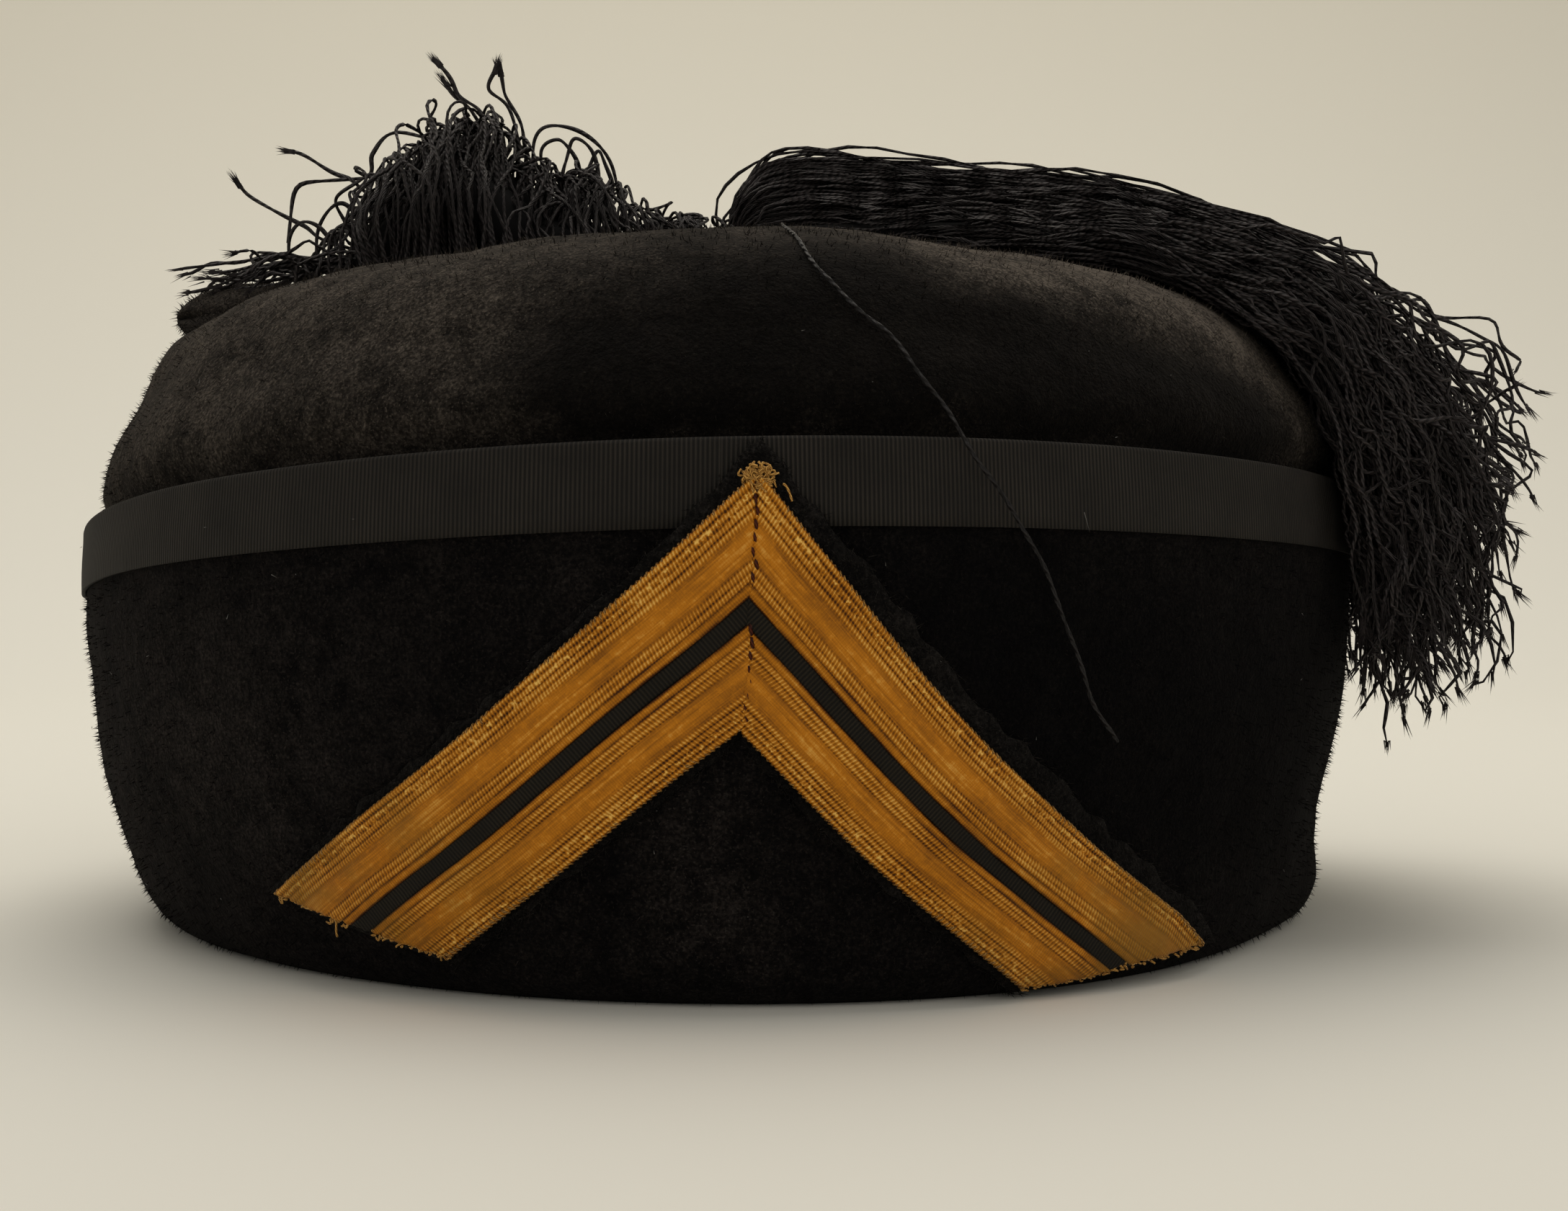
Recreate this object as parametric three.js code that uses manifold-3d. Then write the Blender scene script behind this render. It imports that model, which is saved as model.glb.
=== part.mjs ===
// A soft black plush fez: a crown with a turned-up cuff, a ribbed ribbon bound over the cuff's edge,
// a gold braid chevron on a felt backing at the front, and a long fringe tassel that falls to the right.
// Millimetres, +Z up. The front of the hat faces -Y and the wearer's left-hand side of the picture is -X.
import * as THREE from "three";
import { mergeVertices } from "three/addons/utils/BufferGeometryUtils.js";
import Module from "manifold-3d";

const wasm = await Module();
wasm.setup();

// Driving dimensions
const SEGMENTS = 48; // facets round the hat
const GAP = 0.3; // clearance between pieces that touch
const DEPTH_RATIO = 0.97; // front-to-back size over side-to-side size
const AXIS_X = -19.7; // the crown's axis, left of the middle of the whole outline that the tassel widens
const AXIS_Y = 1.45;
const CUFF_HEIGHT = 68.8; // mean height of the turned-up edge
const PLUSH = 2.5; // thickness of the plush felt
const FOOT_WIDTH = 5; // flat ring under the fold, which the hat stands on
const RIBBON_WIDTH = 10;
const RIBBON_LOW = CUFF_HEIGHT - RIBBON_WIDTH;
const RIBBON_THICKNESS = 0.6;
const RIBBON_TURN_IN = 5; // how far the binding reaches down inside the cuff
const FELT_THICKNESS = 1.1;
const BRAID_THICKNESS = 0.9;
const STRIPE_THICKNESS = 0.5;

// The outside of the cuff, from the edge of the foot to the turned-up edge
const CUFF_PROFILE = [
  { z: 0, r: 92.5 },
  { z: 1.2, r: 95.2 },
  { z: 4, r: 97.4 },
  { z: 10, r: 99.9 },
  { z: 19, r: 102.4 },
  { z: 32, r: 105.5 },
  { z: 48, r: 107.2 },
  { z: 60, r: 107.3 },
  { z: CUFF_HEIGHT, r: 106.6 },
];

// The outside of the crown above the cuff, from inside the binding to the middle of the top
const CROWN_TOP_PROFILE = [
  { z: 64, r: 103.0 },
  { z: 70, r: 103.0 },
  { z: 75, r: 104.3 },
  { z: 80, r: 103.0 },
  { z: 86, r: 99.6 },
  { z: 92, r: 96.0 },
  { z: 97, r: 91.0 },
  { z: 101, r: 84.0 },
  { z: 104, r: 74.0 },
  { z: 106, r: 60.0 },
  { z: 107, r: 40.0 },
  { z: 106.5, r: 18.0 },
  { z: 105.5, r: 0 },
];

// How soft felt departs from a true ellipse, as waves round the hat
const DENTS = [
  { waves: 2, depth: 0.004, turn: 0.6 },
  { waves: 3, depth: 0.004, turn: 2.1 },
  { waves: 5, depth: 0.0025, turn: 0.4 },
];

// Local bulges of the felt: where they are, how wide they spread and how far they push outwards
const BULGES = [
  { azimuth: 262, z: 84, spread: 16, tall: 9, push: 1.6 },
  { azimuth: 205, z: 88, spread: 20, tall: 12, push: -2.6 },
  { azimuth: 150, z: 92, spread: 18, tall: 9, push: 1.8 },
  { azimuth: 185, z: 30, spread: 26, tall: 24, push: -0.9 },
];

// Soft hollows and rises in the top of the crown: place on the top, spread and lift
const TOP_FOLDS = [
  { x: -52, y: 20, spread: 18, lift: -3.0 },
  { x: -30, y: 52, spread: 20, lift: 2.0 },
  { x: 34, y: 44, spread: 18, lift: -2.6 },
  { x: 8, y: -46, spread: 22, lift: 1.4 },
];

// The chevron, measured on the cuff: across from the crown's axis, and up from the table
const CHEVRON_APEX = { across: 5.0, up: 71.0 };
const CHEVRON_TURN = THREE.MathUtils.degToRad(2.6); // it leans to the right
const LEG_SLOPE = THREE.MathUtils.degToRad(41.3); // below the horizontal, before the lean
const LEG_WIDTH = 24.7;
const OUTER_BRAID = { from: 0, to: 10.8 };
const BLACK_STRIPE = { from: 11.1, to: 14.0 };
const INNER_BRAID = { from: 14.3, to: LEG_WIDTH };
const LEG_LENGTHS = {
  left: { outer: 91.8, inner: 51.3 },
  right: { outer: 96.9, inner: 52.4 },
};
const FELT_BORDER = { leftOuter: 1.6, rightOuter: 3.6, inner: 1.0, end: 1.2 };
const LEG_STEPS = 10;
const CHEVRON_RADIUS = 104.5; // mean radius of the cuff where the chevron lies

// The tassel's long locks, which leave the head to the right and fall over the edge of the crown.
// fan: how far to the back a lock lies; lift: its height over the crown; reach and end: where its tip is.
const FALL_LOCKS = [
  { fan: -48, lift: 4, reach: 112, end: 40 },
  { fan: -41, lift: 9, reach: 118, end: 31 },
  { fan: -33, lift: 6, reach: 121, end: 28 },
  { fan: -29, lift: 15, reach: 129, end: 36 },
  { fan: -20, lift: 10, reach: 124, end: 29 },
  { fan: -17, lift: 19, reach: 136, end: 46 },
  { fan: -8, lift: 14, reach: 131, end: 37 },
  { fan: -5, lift: 22, reach: 142, end: 64 },
  { fan: 3, lift: 8, reach: 121, end: 31 },
  { fan: 7, lift: 18, reach: 138, end: 50 },
  { fan: 13, lift: 21, reach: 145, end: 78 },
  { fan: 17, lift: 11, reach: 127, end: 35 },
  { fan: 26, lift: 15, reach: 134, end: 54 },
  { fan: 33, lift: 7, reach: 121, end: 41 },
  { fan: 42, lift: 10, reach: 124, end: 58 },
];
const FALL_RADII = { root: 4.5, belly: 7.0, tip: 2.2 };

// The tassel's short locks, which heap up to the left of the head and bend back down on to the crown
const HEAP_LOCKS = [
  { peak: [-20, -12, 130], tip: [-24, -34, 107] },
  { peak: [-31, -10, 134], tip: [-40, -34, 106] },
  { peak: [-41, -6, 137], tip: [-55, -28, 106] },
  { peak: [-45, 4, 134], tip: [-68, -20, 104] },
  { peak: [-37, 11, 136], tip: [-60, 18, 104] },
  { peak: [-54, -4, 125], tip: [-80, -6, 103] },
  { peak: [-50, 14, 126], tip: [-76, 16, 100] },
  { peak: [-27, 17, 131], tip: [-42, 38, 103] },
  { peak: [-15, 10, 126], tip: [-18, 36, 104] },
  { peak: [-60, 4, 115], tip: [-92, -2, 102] },
];
const HEAP_RADII = { root: 4.5, belly: 7.2, tip: 3.0 };
const HEAD = { x: 1, y: 0, z: 114, halfWidth: 8, halfHeight: 7 };
const LOCK_SIDES = 5;
const LOCK_STEPS = 8;

// The fold of felt that stands up at the left of the crown's top
const FOLD = { x: -82, y: -4, z: 99, long: 12, wide: 8, high: 6.5, turn: 14 };

// How high the turned-up edge stands over its mean at an azimuth, which runs from the front to the right
const edgeLift = (azimuth) => 3.7 * Math.cos(azimuth) + 2.6 * Math.sin(azimuth) + 2.1 * Math.cos(2 * azimuth);

// The share of that lift that felt at a height takes: all of it at the edge, a third of it at the top
const liftShare = (z) => {
  const top = 107;
  return z <= CUFF_HEIGHT ? z / CUFF_HEIGHT : THREE.MathUtils.mapLinear(z, CUFF_HEIGHT, top, 1, 0.33);
};

const bell = (distance, spread) => Math.exp(-((distance / spread) ** 2));

const turnBetween = (a, b) => Math.abs(((((a - b) % 360) + 540) % 360) - 180);

// Takes a point of a round hat to its place in the soft, slightly uneven one
function soften(radius, azimuth, z) {
  const degrees = THREE.MathUtils.radToDeg(azimuth);
  const waves = DENTS.reduce((sum, d) => sum + d.depth * Math.cos(d.waves * azimuth + d.turn), 0);
  const push = BULGES.reduce(
    (sum, b) => sum + b.push * bell(turnBetween(degrees, b.azimuth), b.spread) * bell(z - b.z, b.tall),
    0,
  );
  const nearRim = Math.min(1, radius / 60); // bulges fade towards the middle of the top
  const r = radius * (1 + waves) + push * nearRim;
  const x = r * Math.sin(azimuth);
  const y = -r * DEPTH_RATIO * Math.cos(azimuth);
  const onTop = THREE.MathUtils.smoothstep(z, 88, 102);
  const lift = TOP_FOLDS.reduce((sum, f) => sum + f.lift * bell(Math.hypot(x - f.x, y - f.y), f.spread), 0);
  return new THREE.Vector3(x, y, z + edgeLift(azimuth) * liftShare(z) * nearRim + lift * onTop);
}

// A piece that runs round the hat: a profile turned about +Z, then softened
function roundPiece(profile) {
  const geometry = new THREE.LatheGeometry(
    profile.map((p) => new THREE.Vector2(p.r, p.z)),
    SEGMENTS,
  );
  const position = geometry.getAttribute("position");
  for (let i = 0; i < position.count; i++) {
    // A lathe turns about +Y, and its first meridian lies on +Z
    const azimuth = Math.atan2(position.getX(i), position.getZ(i));
    const radius = Math.hypot(position.getX(i), position.getZ(i));
    const p = soften(radius, azimuth, position.getY(i));
    position.setXYZ(i, p.x, p.y, p.z);
  }
  return geometry;
}

function solidOf(geometry) {
  const bare = new THREE.BufferGeometry().setAttribute("position", geometry.getAttribute("position").clone());
  bare.setIndex(geometry.index);
  const merged = mergeVertices(bare, 1e-3);
  const solid = new wasm.Manifold(
    new wasm.Mesh({
      numProp: 3,
      vertProperties: merged.getAttribute("position").array,
      triVerts: withoutSlivers(merged.index.array),
    }),
  );
  return solid;
}

// Leaves out triangles that merging has closed up, as at a lathe's poles
function withoutSlivers(index) {
  const kept = [];
  for (let i = 0; i < index.length; i += 3) {
    const [a, b, c] = [index[i], index[i + 1], index[i + 2]];
    if (a !== b && b !== c && c !== a) kept.push(a, b, c);
  }
  return new Uint32Array(kept);
}

function geometryOf(solid) {
  const mesh = solid.getMesh();
  const positions = new Float32Array(mesh.numVert * 3);
  for (let i = 0; i < mesh.numVert; i++) {
    positions.set(mesh.vertProperties.subarray(i * mesh.numProp, i * mesh.numProp + 3), i * 3);
  }
  const geometry = new THREE.BufferGeometry();
  geometry.setAttribute("position", new THREE.BufferAttribute(positions, 3));
  geometry.setIndex(new THREE.BufferAttribute(new Uint32Array(mesh.triVerts), 1));
  return geometry;
}

const inset = (profile, by) => profile.map((p) => ({ z: p.z, r: p.r - by }));

// The outside radius of the round cuff at a height
function cuffRadius(z) {
  const above = CUFF_PROFILE.findIndex((p) => p.z >= z);
  if (above === 0) return CUFF_PROFILE[0].r;
  if (above < 0) return CUFF_PROFILE.at(-1).r;
  const [low, high] = [CUFF_PROFILE[above - 1], CUFF_PROFILE[above]];
  return THREE.MathUtils.mapLinear(z, low.z, high.z, low.r, high.r);
}

// The cuff: a wall of plush that stands on a flat fold
function cuffGeometry() {
  const footTop = PLUSH;
  const footInner = CUFF_PROFILE[0].r - FOOT_WIDTH;
  const walls = CUFF_PROFILE.filter((p) => p.z > footTop);
  const innerWall = inset(walls, PLUSH).reverse();
  const corner = { z: footTop, r: cuffRadius(footTop) - PLUSH };
  const foot = [
    { z: footTop, r: footInner },
    { z: 0, r: footInner },
  ];
  return roundPiece([...CUFF_PROFILE, ...innerWall, corner, ...foot, CUFF_PROFILE[0]]);
}

// The outside of the crown, from its edge in the fold to the middle of its top
function crownOutside() {
  const edge = PLUSH + GAP;
  const hidden = CUFF_PROFILE.filter((p) => p.z > edge && p.z < CROWN_TOP_PROFILE[0].z);
  const lowest = { z: edge, r: cuffRadius(edge) };
  return [...inset([lowest, ...hidden], PLUSH + GAP), ...CROWN_TOP_PROFILE];
}

// The inside of the crown: its outside moved in by the thickness of the plush, on every other row
function crownInside() {
  const outside = crownOutside();
  const inside = outside.map((p, i) => {
    const before = outside[Math.max(0, i - 1)];
    const after = outside[Math.min(outside.length - 1, i + 1)];
    const along = Math.hypot(after.r - before.r, after.z - before.z);
    const outward = { r: (after.z - before.z) / along, z: -(after.r - before.r) / along };
    if (i === 0) return { z: p.z, r: p.r - PLUSH };
    if (p.r === 0) return { z: p.z - PLUSH, r: 0 };
    return { z: p.z - outward.z * PLUSH, r: p.r - outward.r * PLUSH };
  });
  return inside.filter((p, i) => i % 2 === 0 || i === inside.length - 1);
}

function foldSolid() {
  const lobe = new THREE.SphereGeometry(1, 14, 10);
  lobe.scale(FOLD.long, FOLD.wide, FOLD.high);
  lobe.rotateZ(THREE.MathUtils.degToRad(FOLD.turn));
  lobe.translate(FOLD.x, FOLD.y, FOLD.z);
  return solidOf(lobe);
}

function crownGeometry() {
  const shell = solidOf(roundPiece([...crownInside().reverse(), ...crownOutside()]));
  const hollow = solidOf(roundPiece([{ z: crownInside()[0].z, r: 0 }, ...crownInside()]));
  return geometryOf(shell.add(foldSolid().subtract(hollow)));
}

// The ribbon: a binding with a leg on each side of the cuff's edge
function ribbonGeometry() {
  const edge = CUFF_HEIGHT + GAP;
  const low = RIBBON_LOW;
  const turnIn = CUFF_HEIGHT - RIBBON_TURN_IN;
  const outerFace = (z) => cuffRadius(z) + GAP;
  const innerFace = (z) => cuffRadius(z) - PLUSH - GAP;
  const t = RIBBON_THICKNESS;
  const loop = [
    { z: low, r: outerFace(low) },
    { z: low, r: outerFace(low) + t },
    { z: 60, r: outerFace(60) + t },
    { z: edge, r: outerFace(edge) + t },
    { z: edge + t, r: outerFace(edge) + t / 2 },
    { z: edge + t, r: innerFace(edge) - t / 2 },
    { z: edge, r: innerFace(edge) - t },
    { z: turnIn, r: innerFace(turnIn) - t },
    { z: turnIn, r: innerFace(turnIn) },
    { z: edge, r: innerFace(edge) },
    { z: edge, r: outerFace(edge) },
    { z: 60, r: outerFace(60) },
  ];
  return roundPiece([...loop, loop[0]]);
}

// A place on the outside of the cuff, off its surface by a height
function onCuff(across, up, off) {
  const azimuth = across / CHEVRON_RADIUS;
  const z = up / (1 + edgeLift(azimuth) / CUFF_HEIGHT);
  const overRibbon = THREE.MathUtils.smoothstep(z, RIBBON_LOW - 16, RIBBON_LOW - 5);
  const roundFold = 1 - THREE.MathUtils.smoothstep(z, 1, 14); // flat facets need room round the fold
  const base = cuffRadius(z) + GAP + overRibbon * (RIBBON_THICKNESS + GAP) + roundFold;
  return soften(base + off, azimuth, z);
}

// Points of the chevron: along a leg from the seam and across it from the outer edge.
// side is -1 for the left leg and 1 for the right one.
function legPoint(side, along, across) {
  const direction = new THREE.Vector2(side * Math.cos(LEG_SLOPE), -Math.sin(LEG_SLOPE));
  const inward = new THREE.Vector2(-side * Math.sin(LEG_SLOPE), -Math.cos(LEG_SLOPE));
  const p = direction.multiplyScalar(along).addScaledVector(inward, across);
  p.rotateAround(new THREE.Vector2(0, 0), -CHEVRON_TURN);
  return new THREE.Vector2(CHEVRON_APEX.across + p.x, CHEVRON_APEX.up + p.y);
}

// Where a line at a distance from the outer edge meets the seam, measured along the leg
const seamAt = (across) => across * Math.tan(LEG_SLOPE);

// Where that line ends: the end is cut from the outer tip straight to the inner tip
function endAt(side, across) {
  const leg = side < 0 ? LEG_LENGTHS.left : LEG_LENGTHS.right;
  const innerEnd = seamAt(LEG_WIDTH) + leg.inner;
  return THREE.MathUtils.mapLinear(across, 0, LEG_WIDTH, leg.outer, innerEnd);
}

// A flat trim bent on to the cuff. place(s, t) gives its outline point, s along it and t across it.
function trim(place, low, high, stepsAlong, stepsAcross) {
  const box = new THREE.BoxGeometry(1, 1, 1, stepsAlong, stepsAcross, 1);
  const position = box.getAttribute("position");
  for (let i = 0; i < position.count; i++) {
    const spot = place(position.getX(i) + 0.5, position.getY(i) + 0.5);
    const off = position.getZ(i) < 0 ? low : high;
    const p = onCuff(spot.x, spot.y, off);
    position.setXYZ(i, p.x, p.y, p.z);
  }
  return box;
}

// One strip of a leg, from the seam to the cut end. s runs left to right, so that faces point out.
function legStrip(side, band, low, high) {
  const place = (s, t) => {
    const across = THREE.MathUtils.lerp(band.to, band.from, t);
    const share = side < 0 ? 1 - s : s;
    const along = THREE.MathUtils.lerp(seamAt(across) + GAP, endAt(side, across), share);
    return legPoint(side, along, across);
  };
  return trim(place, low, high, LEG_STEPS, 3);
}

// The felt backing: both legs in one piece, with its own border round the braid
function feltGeometry() {
  const place = (s, t) => {
    const side = s < 0.5 ? -1 : 1;
    const border = side < 0 ? FELT_BORDER.leftOuter : FELT_BORDER.rightOuter;
    const meet = (FELT_BORDER.leftOuter + FELT_BORDER.rightOuter) / 2;
    const share = Math.abs(s - 0.5) * 2;
    const outer = -THREE.MathUtils.lerp(meet, border, Math.min(1, share * 4));
    const across = THREE.MathUtils.lerp(LEG_WIDTH + FELT_BORDER.inner, outer, t);
    const along = THREE.MathUtils.lerp(seamAt(across), endAt(side, across) + FELT_BORDER.end, share);
    return legPoint(side, along, across);
  };
  return trim(place, 0, FELT_THICKNESS, 2 * LEG_STEPS, 4);
}

// A tapered lock of fringe along a curve
function lockSolid(points, radii) {
  const curve = new THREE.CatmullRomCurve3(points.map((p) => new THREE.Vector3(...p)));
  const tube = new THREE.CylinderGeometry(1, 1, 1, LOCK_SIDES, LOCK_STEPS);
  const position = tube.getAttribute("position");
  const sideways = new THREE.Vector3(0, 1, 0);
  for (let i = 0; i < position.count; i++) {
    const share = position.getY(i) + 0.5;
    const tangent = curve.getTangentAt(share);
    const across = sideways.clone().addScaledVector(tangent, -sideways.dot(tangent)).normalize();
    const outward = tangent.clone().cross(across);
    const radius =
      share < 0.5
        ? THREE.MathUtils.lerp(radii.root, radii.belly, Math.sin(share * Math.PI))
        : THREE.MathUtils.lerp(radii.tip, radii.belly, Math.sin(share * Math.PI) ** 0.8);
    const p = curve
      .getPointAt(share)
      .addScaledVector(outward, position.getX(i) * radius)
      .addScaledVector(across, position.getZ(i) * radius);
    position.setXYZ(i, p.x, p.y, p.z);
  }
  return solidOf(tube);
}

// The path of a long lock: out of the head, over the crown, and down past its edge
function fallPath({ fan, lift, reach, end }) {
  const crownTop = 107;
  return [
    [HEAD.x, fan * 0.06, HEAD.z],
    [28, fan * 0.36, crownTop + lift],
    [70, fan * 0.78, crownTop - 4 + lift * 0.95],
    [reach * 0.8 + 6, fan, crownTop - 14 + lift * 0.8],
    [reach * 0.97, fan * 1.05, THREE.MathUtils.lerp(end, crownTop, 0.45)],
    [reach, fan * 1.08, end],
  ];
}

// The path of a short lock: up from the head to its peak, and down to its tip
function heapPath({ peak, tip }) {
  const rise = new THREE.Vector3(HEAD.x, HEAD.y, HEAD.z).lerp(new THREE.Vector3(...peak), 0.5);
  const slope = new THREE.Vector3(...peak).lerp(new THREE.Vector3(...tip), 0.55);
  return [[HEAD.x, HEAD.y, HEAD.z], [rise.x, rise.y, rise.z + 2], peak, [slope.x, slope.y, slope.z + 3], tip];
}

// The hat without its tassel, filled in and grown by the clearance
function hatEnvelope() {
  const clear = RIBBON_THICKNESS + 2 * GAP;
  const top = CROWN_TOP_PROFILE.filter((p) => p.z > CUFF_HEIGHT + 4);
  const lower = inset(CUFF_PROFILE, -clear);
  const edge = { z: CUFF_HEIGHT + clear + GAP, r: CUFF_PROFILE.at(-1).r + clear };
  const upper = top.map((p) => ({ z: p.z + GAP, r: p.r === 0 ? 0 : p.r + GAP }));
  return solidOf(roundPiece([{ z: 0, r: 0 }, ...lower, edge, ...upper])).add(grownFold());
}

function grownFold() {
  const lobe = new THREE.SphereGeometry(1, 14, 10);
  lobe.scale(FOLD.long + GAP, FOLD.wide + GAP, FOLD.high + GAP);
  lobe.rotateZ(THREE.MathUtils.degToRad(FOLD.turn));
  lobe.translate(FOLD.x, FOLD.y, FOLD.z);
  return solidOf(lobe);
}

function tasselGeometry() {
  const head = new THREE.SphereGeometry(1, 12, 8);
  head.scale(HEAD.halfWidth, HEAD.halfWidth, HEAD.halfHeight);
  head.translate(HEAD.x, HEAD.y, HEAD.z - HEAD.halfHeight / 2);
  const locks = [
    ...FALL_LOCKS.map((row) => lockSolid(fallPath(row), FALL_RADII)),
    ...HEAP_LOCKS.map((row) => lockSolid(heapPath(row), HEAP_RADII)),
  ];
  const fused = locks.reduce((all, lock) => all.add(lock), solidOf(head));
  const shells = fused.subtract(hatEnvelope()).decompose();
  const outerShell = shells.sort((a, b) => b.volume() - a.volume())[0]; // gaps closed in by locks are filled
  return geometryOf(outerShell);
}

const plush = { color: 0x1a1817, roughness: 1, metalness: 0 };
const ribbonCloth = { color: 0x24211e, roughness: 0.8, metalness: 0 };
const goldBraid = { color: 0xb07a22, roughness: 0.45, metalness: 0.3 };
const blackStripe = { color: 0x1c1913, roughness: 0.8, metalness: 0 };
const fringe = { color: 0x161315, roughness: 0.75, metalness: 0 };

const hat = new THREE.Group();
hat.position.set(AXIS_X, AXIS_Y, 0);

function addPiece(name, geometry, finish) {
  const mesh = new THREE.Mesh(geometry, new THREE.MeshStandardMaterial(finish));
  mesh.name = name;
  hat.add(mesh);
}

addPiece("crown", crownGeometry(), plush);
addPiece("cuff", cuffGeometry(), plush);
addPiece("ribbon_binding", ribbonGeometry(), ribbonCloth);
addPiece("chevron_felt", feltGeometry(), plush);

const BRAID_BASE = FELT_THICKNESS + GAP + 0.1;
for (const [sideName, side] of [
  ["left", -1],
  ["right", 1],
]) {
  const braidTop = BRAID_BASE + BRAID_THICKNESS;
  addPiece("braid_outer_" + sideName, legStrip(side, OUTER_BRAID, BRAID_BASE, braidTop), goldBraid);
  addPiece("braid_inner_" + sideName, legStrip(side, INNER_BRAID, BRAID_BASE, braidTop), goldBraid);
  addPiece("stripe_" + sideName, legStrip(side, BLACK_STRIPE, BRAID_BASE, BRAID_BASE + STRIPE_THICKNESS), blackStripe);
}

addPiece("tassel", tasselGeometry(), fringe);

const part = new THREE.Group();
part.add(hat);
export default part;
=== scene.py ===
import logging
import math
from dataclasses import dataclass
from enum import Enum

import bpy
import numpy as np
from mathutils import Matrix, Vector


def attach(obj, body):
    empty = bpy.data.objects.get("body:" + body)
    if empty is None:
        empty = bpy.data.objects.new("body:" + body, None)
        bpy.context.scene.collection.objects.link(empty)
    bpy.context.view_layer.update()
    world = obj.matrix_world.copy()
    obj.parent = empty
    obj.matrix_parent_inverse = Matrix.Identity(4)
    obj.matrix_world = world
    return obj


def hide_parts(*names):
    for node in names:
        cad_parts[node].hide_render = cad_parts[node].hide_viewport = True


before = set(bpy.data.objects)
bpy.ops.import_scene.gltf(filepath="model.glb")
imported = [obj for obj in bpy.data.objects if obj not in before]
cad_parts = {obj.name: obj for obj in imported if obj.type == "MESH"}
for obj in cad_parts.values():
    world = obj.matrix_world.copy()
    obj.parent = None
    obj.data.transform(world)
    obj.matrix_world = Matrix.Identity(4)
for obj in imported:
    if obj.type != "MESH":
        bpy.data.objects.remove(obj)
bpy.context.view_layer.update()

LOG = logging.getLogger("fez")
MM = 0.001
AXIS = np.array([-19.7, 1.45, 0.0])  # the crown's axis in the row frame, mm
DEPTH_RATIO = 0.97  # front-to-back size over side-to-side size
CUFF_HEIGHT = 68.8  # mean height of the turned-up edge
PLUSH = 2.5  # thickness of the plush felt
GAP = 0.3  # between two layers
FOOT_WIDTH = 5.0
RIBBON_WIDTH = 10.0
RIBBON_LOW = CUFF_HEIGHT - RIBBON_WIDTH
RIBBON_TURN_IN = 5.0
RIBBON_THICKNESS = 0.6
CROWN_TOP = 107.0
CROWN_SHOWS = 66.0  # the crown can be seen from this height up
CALM_MIDDLE = 60.0  # the felt's unevenness fades out within this radius
TOP_RISES = (88, 102)  # heights between which the folds of the top set in
UNROLL_RADIUS = 104.5  # the cuff's radius where the chevron is drawn flat
MM_PER_DEGREE = 1.8  # round the hat's side, for strokes of the nap's painted sheen

Colour = tuple[float, float, float]

# Height over the table and radius of the outside, as in the solids
CUFF_PROFILE = np.array(
    [(0, 92.5), (1.2, 95.2), (4, 97.4), (10, 99.9), (19, 102.4), (32, 105.5)]
    + [(48, 107.2), (60, 107.3), (68.8, 106.6)]
)
CROWN_PROFILE = np.array(
    [(64, 103.0), (70, 103.0), (75, 104.3), (80, 103.0), (86, 99.6), (92, 96.0), (97, 91.0)]
    + [(101, 84.0), (104, 74.0), (106, 60.0), (107, 40.0), (106.5, 18.0), (105.5, 0.0)]
)


class Slot(Enum):
    """The record's material slots."""

    PLUSH = "plush"
    CUFF = "cuff_plush"
    RIBBON = "ribbon"
    FELT = "felt"
    GOLD = "gold_braid"
    STRIPE = "stripe"
    FRINGE = "fringe"


class Side(Enum):
    """A leg of the chevron: its sign across the hat."""

    LEFT = -1
    RIGHT = 1


@dataclass(frozen=True)
class Wave:
    """A wave round the hat: how many, how deep, and turned by how much."""

    waves: int
    depth: float
    turn: float


@dataclass(frozen=True)
class Bulge:
    """A local bulge of the felt: where it is, how far it spreads and how far it pushes out."""

    azimuth: float
    z: float
    spread: float
    tall: float
    push: float


@dataclass(frozen=True)
class TopFold:
    """A soft rise or hollow in the top of the crown."""

    x: float
    y: float
    spread: float
    lift: float


WAVES = (Wave(2, 0.004, 0.6), Wave(3, 0.004, 2.1), Wave(5, 0.0025, 0.4))
BULGES = (
    Bulge(262, 84, 16, 9, 0.6),
    Bulge(286, 80, 22, 9, 0.2),
    Bulge(284, 97, 18, 6, 2.4),
    Bulge(205, 88, 20, 12, -2.6),
    Bulge(150, 92, 18, 9, 1.8),
    Bulge(185, 30, 26, 24, -0.9),
    Bulge(286, 44, 22, 22, -0.8),
    # the soft fold at the foot, fuller at the right than at the left
    Bulge(28, 0, 34, 15, 4.6),
    Bulge(315, 0, 34, 15, -2.2),
    Bulge(76, 4, 11, 8, 3.6),
)
TOP_FOLDS = (
    TopFold(-52, 20, 18, -3.0),
    TopFold(-30, 52, 20, 2.0),
    TopFold(34, 44, 18, -2.6),
    TopFold(8, -46, 22, 1.4),
)


def smoothstep(x: np.ndarray, low: float, high: float) -> np.ndarray:
    """Rises smoothly from 0 at low to 1 at high."""
    t = np.clip((x - low) / (high - low), 0, 1)
    return t * t * (3 - 2 * t)


def bell(distance: np.ndarray, spread: float) -> np.ndarray:
    """A bump of height 1 that fades over spread."""
    return np.exp(-((distance / spread) ** 2))


def edge_lift(azimuth: np.ndarray) -> np.ndarray:
    """How high the turned-up edge stands over its mean.

    Args:
        azimuth: angle from the front towards the right, in radians.

    Returns:
        Heights in mm, with a sag at the far left.
    """
    from_left = (azimuth + math.radians(80) + math.pi) % (2 * math.pi) - math.pi
    sag = 2.6 * bell(from_left, 0.33)
    return 3.7 * np.cos(azimuth) + 2.6 * np.sin(azimuth) + 2.1 * np.cos(2 * azimuth) - sag


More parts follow.
